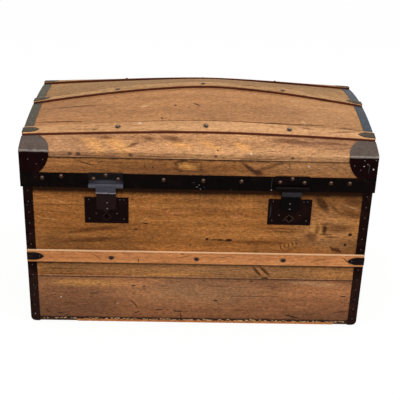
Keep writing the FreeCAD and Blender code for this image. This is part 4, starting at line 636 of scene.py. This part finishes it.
dress(iron("left_hasp_steel", (30, 9, 8), (110, 108, 116), rust=(42, 20, 16), rough=0.4,
           specular=0.08, grain=0.5,
           # the second band is a painted highlight along the strap's lower edge
           bands=(((357, 359), (76, 74, 84), 0.9),
                  ((356.5, 357.5), (360, 359), (168, 158, 162), 0.75)),
           marks=(("worn letters", "smudge", -210, 372.5, 17, 3, 0),
                  ("stud", "shine", -208.5, 329, 1.3, 1, 0),
                  ("stud", "shine", -208.5, 314, 1.3, 1, 0))),
      "left_hasp")
dress(iron("right_hasp_steel", (10, 6, 5), (26, 20, 20), rust=(24, 13, 11), rough=0.4,
           specular=0.03, grain=0.5, bands=(((357, 359), (370, 368), (56, 53, 58), 0.85),),
           # the worn foot mark here is a painted highlight on the strap's grey bar
           marks=(("worn foot", "shine", 216, 361.5, 13, 1.1, 0),
                  ("stud", "shine", 211.5, 335, 1.3, 1, 0),
                  ("stud", "shine", 211.5, 321, 1.3, 1, 0))),
      "right_hasp", "left_lock_bolt", "right_lock_bolt", "hasp_hinge_pins")
dress(iron("right_hinge_iron", (14, 7, 7), (24, 17, 16), rust=(30, 15, 13), rough=0.5,
           specular=0.03, grain=0.6), "right_hasp_hinge_plate")
# rivet_iron's top colour is a painted highlight on the rivets' upper faces
dress(iron("rivet_iron", (66, 40, 26), (116, 80, 58), rust=(52, 29, 18), rough=0.4,
           specular=0.12, dots=0.0, grain=0.4, marks=RIVET_PAINTED_HIGHLIGHTS, level=-244.5),
      "band_rivets")
# dark_nail_iron's top colour is a painted highlight on the nail heads
dress(iron("dark_nail_iron", (30, 20, 19), (52, 40, 42), rust=(34, 22, 20), rust_share=0.1,
           rough=0.4, specular=0.15, dots=0.0, plane="XY", level=500, marks=NAIL_PAINTED_HIGHLIGHTS),
      "slat_nails", "batten_nails")
dress(iron("tack_iron", (66, 58, 54), (128, 118, 108), rust=(64, 48, 40),
           rough=0.45, metal=0.4, specular=0.35, dots=0.0), "body_nails", "lid_tacks")

soften(1.6, "front_batten", "back_batten", "lid_slat_front", "lid_slat_middle", "lid_slat_back")
soften(0.8, "front_board_upper", "back_board_upper", "front_board_lower", "back_board_lower",
       "bottom_board_left", "bottom_board_middle", "bottom_board_right")

# ---------------------------------------------------------------- splinters at the foot

# a row along the foot of the front board; lengths in millimetres, angles in radians
FACE, FOOT = -237.6, 9.6
ROW_START, ROW_PITCH, ROW_STEPS, ROW_REACH, ROW_JITTER = -385, 6.4, 120, 372, 2.6
BARE_SHARE = 0.25               # of the steps without a splinter
HALF_LENGTHS, HALF_HEIGHTS, PROUD = (2, 6), (0.7, 2.0), (0.35, 0.8)
RISES, TILT, CORNER_JITTER = (-1.4, 1.8), 0.35, 0.25
CORNERS, TAPER = 6, 0.7         # the outline, and what is left of it at a splinter's front
random.seed(7)
chips = bmesh.new()
for step in range(ROW_STEPS):
    along = ROW_START + step * ROW_PITCH + random.uniform(-ROW_JITTER, ROW_JITTER)
    if random.random() < BARE_SHARE or not -ROW_REACH < along < ROW_REACH:
        continue
    length, height = random.uniform(*HALF_LENGTHS), random.uniform(*HALF_HEIGHTS)
    rise, tilt = FOOT + random.uniform(*RISES), random.uniform(-TILT, TILT)
    proud = random.uniform(*PROUD)
    ring = []
    for corner in range(CORNERS):
        turn = corner * math.tau / CORNERS + random.uniform(-CORNER_JITTER, CORNER_JITTER)
        dx, dz = length * math.cos(turn), height * math.sin(turn)
        ring.append((along + dx * math.cos(tilt) - dz * math.sin(tilt),
                     rise + dx * math.sin(tilt) + dz * math.cos(tilt)))
    back = [chips.verts.new((px * MM, FACE * MM, pz * MM)) for px, pz in ring]
    front = [chips.verts.new(((along + (px - along) * TAPER) * MM, (FACE - proud) * MM,
                              (rise + (pz - rise) * TAPER) * MM)) for px, pz in ring]
    chips.faces.new(back)
    chips.faces.new(front[::-1])
    for i in range(CORNERS):
        j = (i + 1) % CORNERS
        chips.faces.new((back[j], back[i], front[i], front[j]))
bmesh.ops.recalc_face_normals(chips, faces=chips.faces)
chip_mesh = bpy.data.meshes.new("foot_splinters")
chips.to_mesh(chip_mesh)
chips.free()
splinters = bpy.data.objects.new("foot_splinters", chip_mesh)
bpy.context.scene.collection.objects.link(splinters)
chip_mesh.materials.append(wood("splinter_pine", (214, 176, 128), (168, 118, 76), (80, 48, 30),
                                gap=5, contrast=0.5, seed=101))
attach(splinters, "trunk_body")

# ---------------------------------------------------------------- camera, floor, light

PITCH, YAW, ROLL = 0.451976, 0.030865, 0.032384    # radians: down, to the right, tipped
EYE = (-0.051037, -2.021728, 1.204474)
FOCAL_PIXELS, PICTURE_PIXELS, SENSOR = 863.5, 400, 36.0    # the sensor in millimetres
ahead = Vector((math.sin(YAW) * math.cos(PITCH), math.cos(YAW) * math.cos(PITCH),
                -math.sin(PITCH)))
level_right = Vector((math.cos(YAW), -math.sin(YAW), 0))
level_up = level_right.cross(ahead)
right = math.cos(ROLL) * level_right + math.sin(ROLL) * level_up
upward = math.cos(ROLL) * level_up - math.sin(ROLL) * level_right
camera = bpy.data.objects.new("camera", bpy.data.cameras.new("camera"))
bpy.context.scene.collection.objects.link(camera)
camera.matrix_world = Matrix((
    (right.x, upward.x, -ahead.x, EYE[0]), (right.y, upward.y, -ahead.y, EYE[1]),
    (right.z, upward.z, -ahead.z, EYE[2]), (0, 0, 0, 1)))
camera.data.sensor_fit = "HORIZONTAL"
camera.data.sensor_width = SENSOR
camera.data.lens = FOCAL_PIXELS / PICTURE_PIXELS * SENSOR
camera.data.clip_end = 50
bpy.context.scene.camera = camera


def seen_directly(tree):
    """1 for camera rays and glossy rays, 0 for the rays that light the trunk."""
    paths = add_node(tree, "LightPath", {})
    return add_node(tree, "Math", {0: paths.outputs["Is Camera Ray"],
                                   1: paths.outputs["Is Glossy Ray"]},
                    operation="MAXIMUM").outputs[0]


FLOOR_SIZE, FLOOR_LEVEL = 12, -0.0002
WHITE = (1, 1, 1, 1)
# seen directly, the floor glows nearly white with a faint shadow; to light it is matt grey
FLOOR_GLOW, FAINT, MATT = 0.93, (0.1, 0.1, 0.1, 1), (0.82, 0.82, 0.82, 1)
SKY_LIGHT, SKY_SEEN = 0.55, 1.0

bpy.ops.mesh.primitive_plane_add(size=FLOOR_SIZE, location=(0, 0, FLOOR_LEVEL))
floor = bpy.context.object
floor.name = "floor"
ground = bpy.data.materials.new("pale_floor")
ground.use_nodes = True
tree = ground.node_tree
tree.nodes.clear()
glow = add_node(tree, "Emission", {"Color": WHITE, "Strength": FLOOR_GLOW})
faint = add_node(tree, "BsdfDiffuse", {"Color": FAINT})
both = add_node(tree, "AddShader", {0: glow.outputs[0], 1: faint.outputs[0]})
matt = add_node(tree, "BsdfDiffuse", {"Color": MATT})
chosen = add_node(tree, "MixShader", {0: seen_directly(tree), 1: matt.outputs[0],
                                      2: both.outputs[0]})
add_node(tree, "OutputMaterial", {"Surface": chosen.outputs[0]})
floor.data.materials.append(ground)

world = bpy.data.worlds.new("studio")
bpy.context.scene.world = world
world.use_nodes = True
tree = world.node_tree
tree.nodes.clear()
strength = add_node(tree, "MapRange", {0: seen_directly(tree), 3: SKY_LIGHT, 4: SKY_SEEN})
sky = add_node(tree, "Background", {"Color": WHITE, "Strength": strength.outputs[0]})
add_node(tree, "OutputWorld", {"Surface": sky.outputs[0]})


def panel(name, place, target, size, energy):
    """A rectangular lamp at place, turned to target; sizes in metres, energy in watts."""
    lamp = bpy.data.lights.new(name, "AREA")
    lamp.shape = "RECTANGLE"
    lamp.size, lamp.size_y = size
    lamp.energy = energy
    made = bpy.data.objects.new(name, lamp)
    bpy.context.scene.collection.objects.link(made)
    made.location = place
    made.rotation_euler = (Vector(target) - Vector(place)).to_track_quat("-Z", "Y").to_euler()


panel("overhead_panel", place=(0.1, -0.5, 2.4), target=(0, 0, 0.4), size=(2.2, 1.8), energy=28)

bpy.context.scene.view_settings.view_transform = "Standard"
